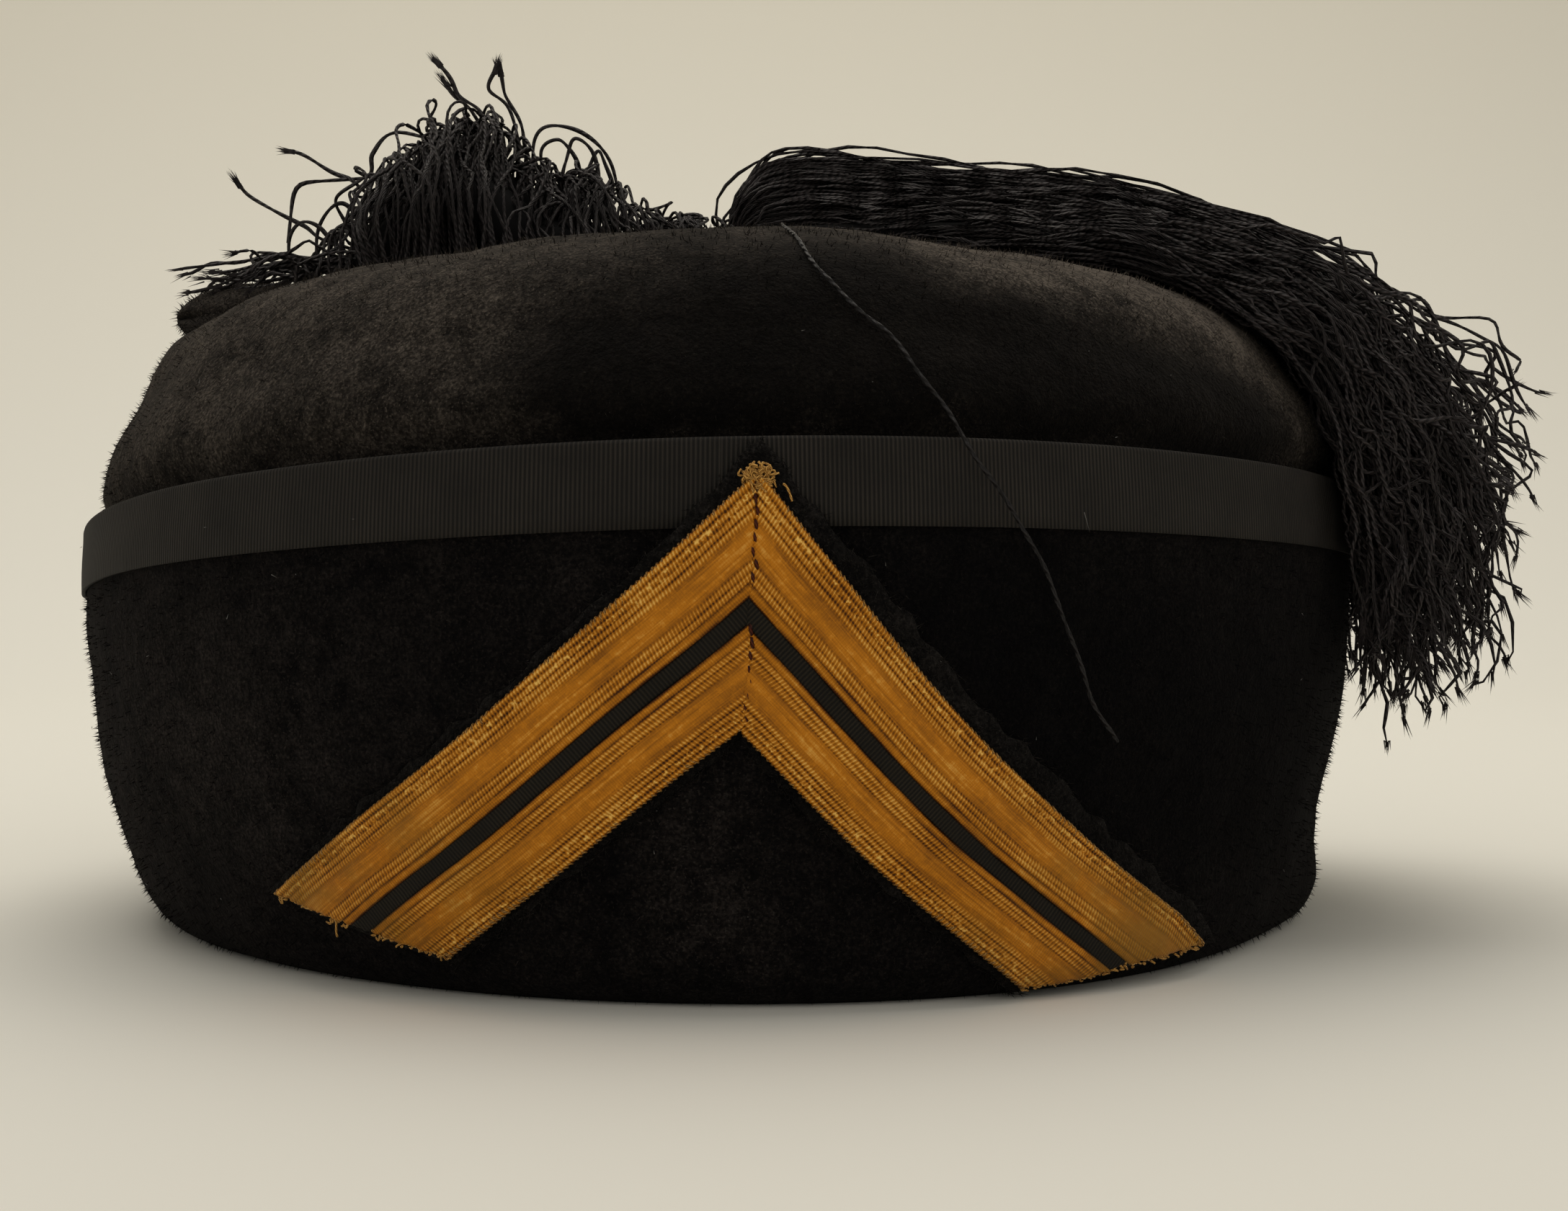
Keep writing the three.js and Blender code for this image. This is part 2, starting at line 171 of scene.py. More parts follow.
def lift_share(z: np.ndarray) -> np.ndarray:
    """The share of the edge's lift that felt at a height takes.

    Args:
        z: height over the table.

    Returns:
        Shares from 0 at the table to 1 at the edge, and less again above it.
    """
    below = z / CUFF_HEIGHT
    above = 1 - 0.67 * (z - CUFF_HEIGHT) / (CROWN_TOP - CUFF_HEIGHT)
    return np.where(z <= CUFF_HEIGHT, below, above)


HASH_PRIMES = np.array([73856093, 19349663, 83492791])  # one for each axis
HASH_SEED, HASH_MIX = 2654435761, 1274126177


def value_noise(points: np.ndarray, cell: float, seed: int) -> np.ndarray:
    """Smooth noise from -1 to 1.

    Args:
        points: places, shape (..., 3).
        cell: size of a cell, in the points' unit.
        seed: which noise.

    Returns:
        One value for each place.
    """
    q = points / cell
    base = np.floor(q)
    f = q - base
    f = f * f * (3 - 2 * f)
    cells = base.astype(np.int64)
    total = np.zeros(points.shape[:-1])
    for corner in range(8):
        step = np.array([corner & 1, (corner >> 1) & 1, corner >> 2])
        h = np.bitwise_xor.reduce((cells + step) * HASH_PRIMES, axis=-1) ^ (seed * HASH_SEED)
        h = ((h ^ (h >> 13)) * HASH_MIX) & 0x7FFFFFFF
        weight = np.prod(np.where(step == 1, f, 1 - f), axis=-1)
        total += weight * ((h % 65536) / 32767.5 - 1)
    return total


def noise_sum(points: np.ndarray, *layers: tuple[float, float, int]) -> np.ndarray:
    """Adds up layers of value noise, each given by its size, cell and seed."""
    return sum(size * value_noise(points, cell, seed) for size, cell, seed in layers)


def spline_weights(knots: int, samples: np.ndarray) -> np.ndarray:
    """Weights of a smooth curve through its knots.

    Args:
        knots: how many knots.
        samples: places along the curve, from 0 to knots - 1.

    Returns:
        A matrix (samples, knots) that turns knots into points.
    """
    i = np.clip(np.floor(samples).astype(int), 0, knots - 2)
    u = samples - i
    basis = (
        -0.5 * u + u**2 - 0.5 * u**3,
        1 - 2.5 * u**2 + 1.5 * u**3,
        0.5 * u + 2 * u**2 - 1.5 * u**3,
        -0.5 * u**2 + 0.5 * u**3,
    )
    weights = np.zeros((len(samples), knots + 2))  # with one knot more before the first and after the last
    for k, value in enumerate(basis):
        weights[np.arange(len(samples)), i + k] += value
    for extra, first, second in ((0, 1, 2), (-1, -2, -3)):  # those two carry the curve straight on
        weights[:, first] += 2 * weights[:, extra]
        weights[:, second] -= weights[:, extra]
    return weights[:, 1:-1]


def smooth_profile(points: np.ndarray, per_step: int) -> np.ndarray:
    """A smooth line through profile points, with per_step samples between two of them."""
    samples = np.linspace(0, len(points) - 1, (len(points) - 1) * per_step + 1)
    return spline_weights(len(points), samples) @ points


def unit(vectors: np.ndarray) -> np.ndarray:
    """The same directions at length 1."""
    return vectors / np.maximum(np.linalg.norm(vectors, axis=-1, keepdims=True), 1e-9)


def stacked(*parts: np.ndarray | float) -> np.ndarray:
    """Points whose coordinates are the parts, spread to one shape."""
    return np.stack(np.broadcast_arrays(*parts), axis=-1)


def blend(a: np.ndarray, b: np.ndarray, share: float) -> np.ndarray:
    """A value between a and b, at that share of the way to b."""
    return a * (1 - share) + b * share


def turns(columns: int) -> np.ndarray:
    """The angles of that many columns round a ring, in radians."""
    return np.arange(columns) * 2 * math.pi / columns


def half_turn(degrees: np.ndarray) -> np.ndarray:
    """The same angles between -180 and 180 degrees."""
    return (degrees + 180) % 360 - 180


def run(paths: np.ndarray) -> np.ndarray:
    """The distance along each path at each of its points, shape (..., steps)."""
    return np.cumsum(np.linalg.norm(np.diff(paths, axis=-2, prepend=paths[..., :1, :]), axis=-1), axis=-1)


def outward_of(profile: np.ndarray) -> np.ndarray:
    """The direction out of a profile of (height, radius) at each of its points."""
    along = np.gradient(profile, axis=0)
    return unit(np.stack([-along[:, 1], along[:, 0]], axis=1))


class Form:
    """The shape that all the hat's felt follows, in mm."""

    @staticmethod
    def rise(
        x: np.ndarray, y: np.ndarray, z: np.ndarray, azimuth: np.ndarray, radius: np.ndarray
    ) -> np.ndarray:
        """How much higher a place of the soft hat stands than in a round one.

        Args:
            x: its place across, from the crown's axis.
            y: its place towards the back, from the crown's axis.
            z: height in the round hat.
            azimuth: angle from the front towards the right, in radians.
            radius: distance from the axis in the round hat.

        Returns:
            Heights in mm.
        """
        near = np.minimum(1, radius / CALM_MIDDLE)
        folds = sum(f.lift * bell(np.hypot(x - f.x, y - f.y), f.spread) for f in TOP_FOLDS)
        return edge_lift(azimuth) * lift_share(z) * near + folds * smoothstep(z, *TOP_RISES)

    @staticmethod
    def soften(radius: np.ndarray, azimuth: np.ndarray, z: np.ndarray) -> np.ndarray:
        """Takes a point of a round hat to its place in the soft, slightly uneven one.

        Args:
            radius: distance from the crown's axis.
            azimuth: angle from the front towards the right, in radians.
            z: height over the table.

        Returns:
            Places in the row frame, shape (..., 3).
        """
        radius, azimuth, z = np.broadcast_arrays(radius, azimuth, z)
        degrees = np.degrees(azimuth)
        waves = sum(w.depth * np.cos(w.waves * azimuth + w.turn) for w in WAVES)
        push = sum(
            b.push * bell(half_turn(degrees - b.azimuth), b.spread) * bell(z - b.z, b.tall) for b in BULGES
        )
        r = radius * (1 + waves) + push * np.minimum(1, radius / CALM_MIDDLE)
        x, y = r * np.sin(azimuth), -r * DEPTH_RATIO * np.cos(azimuth)
        return stacked(x, y, z + Form.rise(x, y, z, azimuth, radius)) + AXIS

    @staticmethod
    def cuff_radius(z: np.ndarray) -> np.ndarray:
        """The radius of the cuff's outside at a height."""
        return np.interp(z, SMOOTH_CUFF[:, 0], SMOOTH_CUFF[:, 1])

    @staticmethod
    def sideways(points: np.ndarray) -> np.ndarray:
        """The level direction away from the crown's axis at each place."""
        return unit((points - AXIS) * [1, 1, 0])

    @staticmethod
    def on_cuff(across: np.ndarray, up: np.ndarray, off: np.ndarray | float) -> np.ndarray:
        """A place on the outside of the cuff, over the ribbon where that covers it.

        Args:
            across: distance across the front from the crown's axis.
            up: height over the table.
            off: height off the surface.

        Returns:
            Places in the row frame.
        """
        z = up / (1 + edge_lift(across / UNROLL_RADIUS) / CUFF_HEIGHT)
        azimuth = across / np.minimum(UNROLL_RADIUS, Form.cuff_radius(z) + 2.1)
        over_ribbon = smoothstep(z, RIBBON_LOW - 12, RIBBON_LOW - 2)
        fold = 1 - smoothstep(z, 1, 14)
        base = Form.cuff_radius(z) + 0.4 + over_ribbon * (RIBBON_THICKNESS + GAP) + 0.4 * fold
        return Form.soften(base + off, azimuth, z)

    @staticmethod
    def push_out(points: np.ndarray, clearance: np.ndarray) -> np.ndarray:
        """Moves points that are in the hat, or too near it, to its outside.

        Args:
            points: places in the row frame, shape (n, 3).
            clearance: the least distance from the surface for each.

        Returns:
            The moved places.
        """
        x, y, z = (points - AXIS).T
        azimuth = np.arctan2(x, -y / DEPTH_RATIO)
        radius = np.hypot(x, y / DEPTH_RATIO)
        shift = Form.rise(x, y, np.clip(z, 0, CROWN_TOP), azimuth, radius)
        flat = np.stack([z - shift, radius], axis=1)
        outward = outward_of(HULL)
        nearest = np.argmin(((flat[:, None, :] - HULL[None]) ** 2).sum(-1), axis=1)
        depth = ((flat - HULL[nearest]) * outward[nearest]).sum(-1)
        flat = flat + outward[nearest] * np.maximum(0, clearance - depth)[:, None]
        scale = flat[:, 1] / np.maximum(radius, 1e-6)
        return np.stack([x * scale, y * scale, flat[:, 0] + shift], axis=1) + AXIS


SMOOTH_CUFF = smooth_profile(CUFF_PROFILE, 10)
HULL = np.concatenate([CUFF_PROFILE + [0, 1.2], smooth_profile(CROWN_PROFILE[2:], 8)])


def put(name: str, data: bpy.types.ID) -> bpy.types.Object:
    """Adds an object to the scene.

    Args:
        name: its name.
        data: its mesh, light or camera.

    Returns:
        The object.
    """
    thing = bpy.data.objects.new(name, data)
    bpy.context.scene.collection.objects.link(thing)
    return thing


class Meshes:
    """Makes meshes and the hat's pieces from arrays."""

    @staticmethod
    def mesh(
        name: str, points: np.ndarray, faces: np.ndarray, material: bpy.types.Material, smooth: bool = True
    ) -> bpy.types.Mesh:
        """Makes a mesh.

        Args:
            name: its name.
            points: vertices, in metres.
            faces: vertex numbers, one row per face, all with as many corners.
            material: its finish.
            smooth: whether it is shaded smooth.

        Returns:
            The mesh.
        """
        mesh = bpy.data.meshes.new(name)
        count, corners = faces.shape
        mesh.vertices.add(len(points))
        mesh.vertices.foreach_set("co", points.astype(np.float32).ravel())
        mesh.loops.add(faces.size)
        mesh.loops.foreach_set("vertex_index", faces.astype(np.int32).ravel())
        mesh.polygons.add(count)
        mesh.polygons.foreach_set("loop_start", np.arange(0, faces.size, corners, dtype=np.int32))
        mesh.polygons.foreach_set("use_smooth", np.full(count, smooth))
        mesh.update(calc_edges=True)
        mesh.materials.append(material)
        return mesh

    @staticmethod
    def make(
        name: str,
        points: np.ndarray,
        faces: np.ndarray,
        material: bpy.types.Material,
        slot: Slot,
        uv: np.ndarray | None = None,
        paint: np.ndarray | None = None,
        smooth: bool = True,
    ) -> bpy.types.Object:
        """Makes one piece of the hat that rides on its body.

        Args:
            name: the piece's name.
            points: vertices in the row frame, mm.
            faces: vertex numbers, one row per face.
            material: its finish.
            slot: the record's slot for it; not used.
            uv: a place on the cloth for each vertex, in mm.
            paint: a value for each vertex that the finish reads as painted light: the nap's sheen on plush,
                the shade in a braid's grooves.
            smooth: whether it is shaded smooth.

        Returns:
            The object.
        """
        points = np.maximum(points, [-np.inf, -np.inf, 0.0])  # nothing reaches below the table
        mesh = Meshes.mesh(name, points * MM, faces, material, smooth)
        if uv is not None:
            layer = mesh.uv_layers.new(name="cloth")
            layer.data.foreach_set("uv", uv[faces.ravel()].astype(np.float32).ravel())
        if paint is not None:
            # this attribute carries painted light: the sheen of plush nap, the shade in braid grooves
            attribute = mesh.attributes.new("nap", "FLOAT", "POINT")
            attribute.data.foreach_set("value", paint.astype(np.float32))
        thing = put(name, mesh)
        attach(thing, "root")
        LOG.info("%s: %d vertices, %d faces", name, len(points), len(faces))
        return thing

    @staticmethod
    def grid_faces(
        rows: int, columns: int, close_rows: bool = False, close_columns: bool = True
    ) -> np.ndarray:
        """Quads of a grid of points.

        Args:
            rows: how many rows of points.
            columns: points in a row.
            close_rows: whether the last row joins the first.
            close_columns: whether the last column joins the first.

        Returns:
            Faces, one row of four per quad.
        """
        r = np.arange(rows if close_rows else rows - 1)[:, None]
        c = np.arange(columns if close_columns else columns - 1)[None]
        r2, c2 = (r + 1) % rows, (c + 1) % columns
        corners = (r * columns + c, r * columns + c2, r2 * columns + c2, r2 * columns + c)
        return stacked(*corners).reshape(-1, 4)

    @staticmethod
    def plate(upper: np.ndarray, lower: np.ndarray) -> tuple[np.ndarray, np.ndarray]:
        """A closed plate between two grids of points.

        Args:
            upper: its face, shape (rows, columns, 3).
            lower: its back, of the same shape.

        Returns:
            Vertices and quads.
        """
        number = np.arange(upper[..., 0].size).reshape(upper.shape[:2])
        rim = np.concatenate([number[0], number[1:, -1], number[-1, -2::-1], number[-2:0:-1, 0]])
        after, n = np.roll(rim, -1), number.size
        face = Meshes.grid_faces(*number.shape, close_columns=False)
        sides = np.stack([after, rim, rim + n, after + n], axis=-1)
        faces = np.concatenate([face, face[:, ::-1] + n, sides])
        return np.concatenate([upper.reshape(-1, 3), lower.reshape(-1, 3)]), faces

    @staticmethod
    def tubes(
        name: str,
        paths: np.ndarray,
        radii: np.ndarray | float,
        sides: int,
        material: bpy.types.Material,
        slot: Slot,
        flat: float = 1.0,
        twist: float = 0.0,
    ) -> bpy.types.Object:
        """Makes a piece of closed tubes along many paths.

        Args:
            name: the piece's name.
            paths: shape (tubes, steps, 3).
            radii: radius at each step of each tube.
            sides: corners of the section, an even number.
            material: its finish, whose cloth place is mm along a tube and the share round it.
            slot: the record's slot for it; not used.
            flat: one width of the section over the other.
            twist: turns of the section per mm.

        Returns:
            The object.
        """
        count, steps, _ = paths.shape
        radii = np.broadcast_to(radii, (count, steps))[..., None]
        tangent = unit(np.gradient(paths, axis=1))
        reference = np.where(np.abs(tangent[..., 1:2]) > 0.9, [[[1.0, 0, 0]]], [[[0.0, 1, 0]]])
        side = unit(np.cross(tangent, reference))
        other = np.cross(tangent, side)
        length, angle = run(paths)[..., None], turns(sides)
        turn = length * twist * 2 * math.pi
        a, b = np.cos(angle), np.sin(angle) * flat
        u = (a * np.cos(turn) - b * np.sin(turn)) * radii
        v = (a * np.sin(turn) + b * np.cos(turn)) * radii
        points = paths[:, :, None] + side[:, :, None] * u[..., None] + other[:, :, None] * v[..., None]
        i = np.arange(sides // 2 - 1)
        cap = np.stack([(sides - i) % sides, i + 1, i + 2, sides - 1 - i], axis=-1)
        quad = np.concatenate([Meshes.grid_faces(steps, sides), cap[:, ::-1], cap + (steps - 1) * sides])
        faces = (quad + (np.arange(count) * steps * sides)[:, None, None]).reshape(-1, 4)
        uv = stacked(length, angle / (2 * math.pi)).reshape(-1, 2)
        return Meshes.make(name, points.reshape(-1, 3), faces, material, slot, uv=uv)

    @staticmethod
    def spikes(
        name: str,
        roots: np.ndarray,
        tips: np.ndarray,
        width: float,
        material: bpy.types.Material,
        slot: Slot,
        uv: np.ndarray | None = None,
        shade: np.ndarray | None = None,
    ) -> bpy.types.Object:
        """Makes a piece of closed thin spikes, as of hair.

        Args:
            name: the piece's name.
            roots: places they grow from.
            tips: places they end at.
            width: width at the root.
            material: its finish.
            slot: the record's slot for it; not used.
            uv: a place on the cloth for each vertex.
            shade: a value for each spike that the finish reads as painted light, the sheen of the nap.

        Returns:
            The object.
        """
        along = unit(tips - roots)
        reference = np.where(np.abs(along[:, 2:3]) > 0.9, [[1.0, 0, 0]], [[0.0, 0, 1]])
        side = unit(np.cross(along, reference))
        other = np.cross(along, side)
        corners = [roots + width * (side * math.cos(a) + other * math.sin(a)) for a in turns(3)]
        points = np.stack([*corners, tips], axis=1).reshape(-1, 3)
        face = np.array([[0, 1, 3], [1, 2, 3], [2, 0, 3], [2, 1, 0]])
        faces = (face + (np.arange(len(roots)) * 4)[:, None, None]).reshape(-1, 3)
        paint = None if shade is None else np.clip(np.repeat(shade, 4), 0, 1)
        return Meshes.make(name, points, faces, material, slot, uv=uv, paint=paint, smooth=False)


Value = float | bpy.types.NodeSocket
WHITE, BLACK = (1, 1, 1), (0, 0, 0)


class Shader:
    """A node material under construction."""

    def __init__(self, name: str) -> None:
        """Starts a material with one principled surface.

        Args:
            name: the material's name.
        """
        self.material = bpy.data.materials.new(name)
        self.material.use_nodes = True
        self.tree = self.material.node_tree
        self.surface = self.tree.nodes["Principled BSDF"]

    def set(self, **values: float | tuple) -> None:
        """Sets constants on the surface. Underscores in a name stand for spaces."""
        for key, value in values.items():
            self.surface.inputs[key.replace("_", " ")].default_value = value

    def node(self, kind: str, inputs: dict | None = None, **settings: object) -> bpy.types.Node:
        """Adds a node.

        Args:
            kind: its type, without the ShaderNode prefix.
            inputs: socket name or number to a value or an output socket.
            settings: the node's own properties.

        Returns:
            The node.
        """
        made = self.tree.nodes.new("ShaderNode" + kind)
        for key, value in settings.items():
            setattr(made, key, value)
        for key, value in (inputs or {}).items():
            if isinstance(value, bpy.types.NodeSocket):
                self.tree.links.new(value, made.inputs[key])
            else:
                made.inputs[key].default_value = value
        return made

    def link(self, output: bpy.types.NodeSocket, name: str) -> None:
        """Joins an output to a socket of the surface."""
        self.tree.links.new(output, self.surface.inputs[name])

    def math(self, operation: str, *values: Value) -> bpy.types.NodeSocket:
        """Adds a sum of that kind and returns its result."""
        return self.node("Math", dict(enumerate(values)), operation=operation).outputs[0]

    def times(self, a: Value, b: Value) -> bpy.types.NodeSocket:
        """The product of two values."""
        return self.math("MULTIPLY", a, b)

    def times_plus(self, a: Value, b: Value, c: Value) -> bpy.types.NodeSocket:
        """The product of two values, plus a third."""
        return self.math("MULTIPLY_ADD", a, b, c)

    def wave(self, place: Value) -> bpy.types.NodeSocket:
        """A sine wave between 0 and 1 over a place in radians."""
        return self.times_plus(self.math("SINE", place), 0.5, 0.5)

    def nap(self) -> bpy.types.NodeSocket:
        """The painted light on the piece: the nap's sheen on plush, the shade in a braid's grooves."""
        return self.node("Attribute", attribute_name="nap").outputs["Fac"]

    def cloth(self) -> tuple[bpy.types.NodeSocket, bpy.types.NodeSocket]:
        """The place on the cloth: mm along it, and the place across it."""
        split = self.node("SeparateXYZ", {0: self.node("UVMap", uv_map="cloth").outputs[0]})
        return split.outputs[0], split.outputs[1]

    def ramp(self, value: bpy.types.NodeSocket, stops: list[tuple[float, Colour]]) -> bpy.types.NodeSocket:
        """Turns a value into a colour.

        Args:
            value: what is read.
            stops: places from 0 to 1, each with its colour.

        Returns:
            The colour.
        """
        made = self.node("ValToRGB", {0: value})
        elements = made.color_ramp.elements
        while len(elements) < len(stops):
            elements.new(0.5)
        for element, (place, colour) in zip(elements, stops):
            element.position = place
            element.color = (*colour, 1)
        return made.outputs[0]

    def mask(self, value: bpy.types.NodeSocket, low: float, high: float) -> bpy.types.NodeSocket:
        """Rises from black at low to white at high."""
        return self.ramp(value, [(low, BLACK), (high, WHITE)])

    def colour(self, value: bpy.types.NodeSocket, *stops: tuple[float, Colour]) -> None:
        """Colours the surface by a value through stops of (place, colour)."""
        self.link(self.ramp(value, list(stops)), "Base Color")

    def noise(
        self, scale: float, detail: float = 3, across: tuple[Value, Value] | None = None
    ) -> bpy.types.NodeSocket:
        """Adds noise.

        Args:
            scale: cells per metre of the object, or per unit of the place given.
            detail: how many finer layers it has.
            across: the two coordinates of a place on the cloth, to use instead of the object's.

        Returns:
            Values around 0.5.
        """
        if across:
            where = self.node("CombineXYZ", dict(enumerate(across))).outputs[0]
        else:
            where = self.node("TexCoord").outputs["Object"]
        made = self.node("TexNoise", {"Vector": where, "Scale": scale, "Detail": detail, "Roughness": 0.6})
        return made.outputs[0]

    def bump(self, height: bpy.types.NodeSocket, strength: float, distance: float) -> None:
        """Adds relief of a depth in metres."""
        made = self.node("Bump", {"Height": height, "Strength": strength, "Distance": distance})
        self.link(made.outputs[0], "Normal")


@dataclass(frozen=True)
class PlushFinish:
    """Long-nap plush with the nap's sheen painted into its colour: dark where the nap points at the eye,
    paler where it lies over and catches the light.
    """

    name: str
    dark: Colour
    light: Colour
    sheen: float
    grain: float = 1.3

    def material(self) -> bpy.types.Material:
        """Makes the node material.

        Returns:
            The material, whose painted value for each vertex says how pale the nap's painted sheen makes the
            plush.
        """
        s = Shader(self.name)
        # the painted sheen of the nap, read per vertex
        nap, fine, clump, patch = s.nap(), s.noise(1900, 3), s.noise(420, 4), s.noise(95, 3)
        speck, tuft, cloud = s.mask(fine, 0.42, 0.72), s.mask(clump, 0.36, 0.68), s.mask(patch, 0.34, 0.66)
        lie = s.times_plus(tuft, 0.55, s.times_plus(cloud, 0.5, 0.1))
        shine = s.times(lie, s.times_plus(speck, self.grain, 1 - self.grain / 2))
        # painted glints: tiny bright specks, as of fibres catching the light
        glint = s.mask(s.noise(2600, 1), 0.60, 0.70)
        shine = s.times_plus(glint, 0.7, s.times(shine, 0.85))
        # base colour: random mottling and painted glints, scaled by the nap's painted sheen
        value = s.times(shine, s.times_plus(nap, 1.9, 0.05))
        s.colour(value, (0.0, self.dark), (1.0, self.light))
        s.set(Roughness=1.0, Specular_IOR_Level=0.05, Sheen_Weight=self.sheen, Sheen_Roughness=0.5)
        s.set(Sheen_Tint=(0.62, 0.56, 0.5, 1))
        s.bump(s.times_plus(fine, 0.6, clump), 0.7, 0.0009)
        return s.material


@dataclass(frozen=True)
class RibbonFinish:
    """Ribbed silk ribbon. Its ribs stand across its length, with painted shade between them."""

    name: str
    colour: Colour
    rib_mm: float

    def material(self) -> bpy.types.Material:
        """Makes the node material.

        Returns:
            The material.
        """
        s = Shader(self.name)
        along, _ = s.cloth()
        # painted shade: the colour darkens between the ribs, down to the low colour
        rib = s.wave(s.times(along, 2 * math.pi / self.rib_mm))
        wear = s.times_plus(s.noise(120, 4), 1.3, 0.12)
        low = tuple(c * 0.12 for c in self.colour)
        s.colour(s.times(rib, wear), (0.0, low), (1.0, self.colour))
        s.set(Roughness=0.7, Specular_IOR_Level=0.18)
        s.bump(s.times_plus(s.noise(2500, 2), 0.25, rib), 0.8, 0.0002)
        return s.material


class Band(Enum):
    """The weaves that lie side by side across a gold braid."""

    WHIPPED = "whipped edge"
    CORDS = "rows of cord"
    SATIN = "smooth satin"
    RIBBED = "fine ribs"


@dataclass(frozen=True)
class BandRow:
    """One weave across a braid, from the black stripe outwards, as shares of the strip's width."""

    kind: Band
    start: float
    end: float
    cords: int
    relief: float


GOLD_BANDS = (
    BandRow(Band.RIBBED, 0.0, 0.13, 1, 0.10),
    BandRow(Band.CORDS, 0.13, 0.31, 2, 0.26),
    BandRow(Band.SATIN, 0.31, 0.64, 1, 0.30),
    BandRow(Band.CORDS, 0.64, 0.91, 3, 0.28),
    BandRow(Band.WHIPPED, 0.91, 1.0, 1, 0.42),
)


@dataclass(frozen=True)
class GoldFinish:
    """Gold silk braid. Its cloth place is mm along it and the share across it, from the stripe outwards."""

    name: str
    # the colour of painted shade in the braid's grooves and hollows
    painted_shade: Colour = (0.06, 0.015, 0.001)
    gold: Colour = (0.54, 0.190, 0.0055)
    # the colour of painted highlights
    pale: Colour = (1.0, 0.60, 0.14)
    dull: tuple[float, float, float, float] = (0.26, 0.125, 0.012, 1)
    bead_mm: float = 0.5
    rib_mm: float = 0.36

    def material(self) -> bpy.types.Material:
        """Makes the node material.

        Returns:
            The material, whose painted value for each vertex says how dark the painted shade in the grooves
            between its cords is.
        """
        s = Shader(self.name)
        along, share = s.cloth()
        satin = s.ramp(share, [(0.30, BLACK), (0.33, WHITE), (0.62, WHITE), (0.66, BLACK)])
        rib = s.ramp(share, [(0.0, WHITE), (0.12, WHITE), (0.14, BLACK), (1.0, BLACK)])
        chunky = s.ramp(share, [(0.78, BLACK), (0.82, WHITE), (0.90, WHITE), (0.92, BLACK)])
        bead = s.wave(s.times_plus(share, 34.0, s.times(along, 2 * math.pi / self.bead_mm)))
        fine = s.wave(s.times(along, 2 * math.pi / self.rib_mm))
        beads = s.times(bead, s.math("SUBTRACT", 1.0, s.math("ADD", satin, rib)))
        cross = s.times(fine, s.times_plus(satin, 0.45, rib))
        # painted highlights: streaks of light along the braid
        highlight_streak = s.noise(1.7, 4, (s.times(along, 0.05), s.times(share, 17.0)))
        # painted glints: bright spots, more of them on the chunky cords
        painted_glint = s.mask(s.noise(1.0, 2, (s.times(along, 1.2), s.times(share, 12.0))), 0.5, 0.7)
        # the tone is painted light over random mottling: highlight streaks, light on beads and fine ribs,
        # glints, and shade in the grooves
        tone = s.times_plus(highlight_streak, 0.85, s.times_plus(s.noise(110, 4), 0.6, -0.28))
        tone = s.times_plus(beads, 0.34, tone)
        tone = s.times_plus(cross, 0.10, tone)
        tone = s.times_plus(painted_glint, s.times_plus(chunky, 0.55, 0.12), tone)
        tone = s.times_plus(s.nap(), -0.62, tone)
        colour = s.ramp(tone, [(0.02, self.painted_shade), (0.52, self.gold), (1.0, self.pale)])
        ends = s.mask(s.times(along, 0.01), 0.5, 0.85)
        worn = s.times(ends, s.mask(s.noise(75, 3), 0.4, 0.6))
        dull = s.node("MixRGB", {0: s.times(worn, 0.75), 1: colour, 2: self.dull})
        s.link(dull.outputs[0], "Base Color")
        s.set(Metallic=0.3, Specular_IOR_Level=0.2, Anisotropic=0.5)
        s.link(s.times_plus(satin, -0.12, 0.52), "Roughness")
        relief = s.times_plus(beads, 0.9, s.times_plus(cross, 0.7, s.times(painted_glint, chunky)))
        s.bump(s.times_plus(highlight_streak, 0.5, relief), 0.8, 0.00018)
        return s.material


@dataclass(frozen=True)
class ThreadFinish:
    """Twisted thread, with painted light and shade along its twist. Its cloth place is mm along it and the
    share round it.
    """

    name: str
    dark: Colour
    light: Colour
    ply_mm: float
    roughness: float = 0.5

    def material(self) -> bpy.types.Material:
        """Makes the node material.

        Returns:
            The material.
        """
        s = Shader(self.name)
        along, around = s.cloth()
        # painted light and shade: lighter on each ply, darker between the plies
        ply = s.wave(s.times_plus(along, 2 * math.pi / self.ply_mm, s.times(around, 4 * math.pi)))
        value = s.times_plus(s.noise(900, 3), 0.6, s.times(ply, 0.42))
        s.colour(value, (0.22, self.dark), (0.85, self.light))
        s.set(Roughness=self.roughness, Specular_IOR_Level=0.22)
        s.bump(s.times_plus(s.noise(2600, 2), 0.6, ply), 0.8, 0.00025)
        return s.material


@dataclass(frozen=True)
class PlainFinish:
    """A plain cloth or paper with a fine grain."""

    name: str
    colour: Colour
    roughness: float = 0.9
    grain: float = 300

    def material(self) -> bpy.types.Material:
        """Makes the node material.

        Returns:
            The material.
        """
        s = Shader(self.name)
        low = tuple(c * 0.8 for c in self.colour)
        s.colour(s.noise(self.grain, 3), (0.3, low), (0.7, self.colour))
        s.set(Roughness=self.roughness, Specular_IOR_Level=0.2)
        return s.material


@dataclass(frozen=True)
class NapSheenStroke:
    """A stroke of paler or darker painted sheen of the nap over the plush: (azimuth, height) places, width in
    mm, and strength.
    """

    places: tuple[tuple[float, float], ...]
    width: float
    strength: float


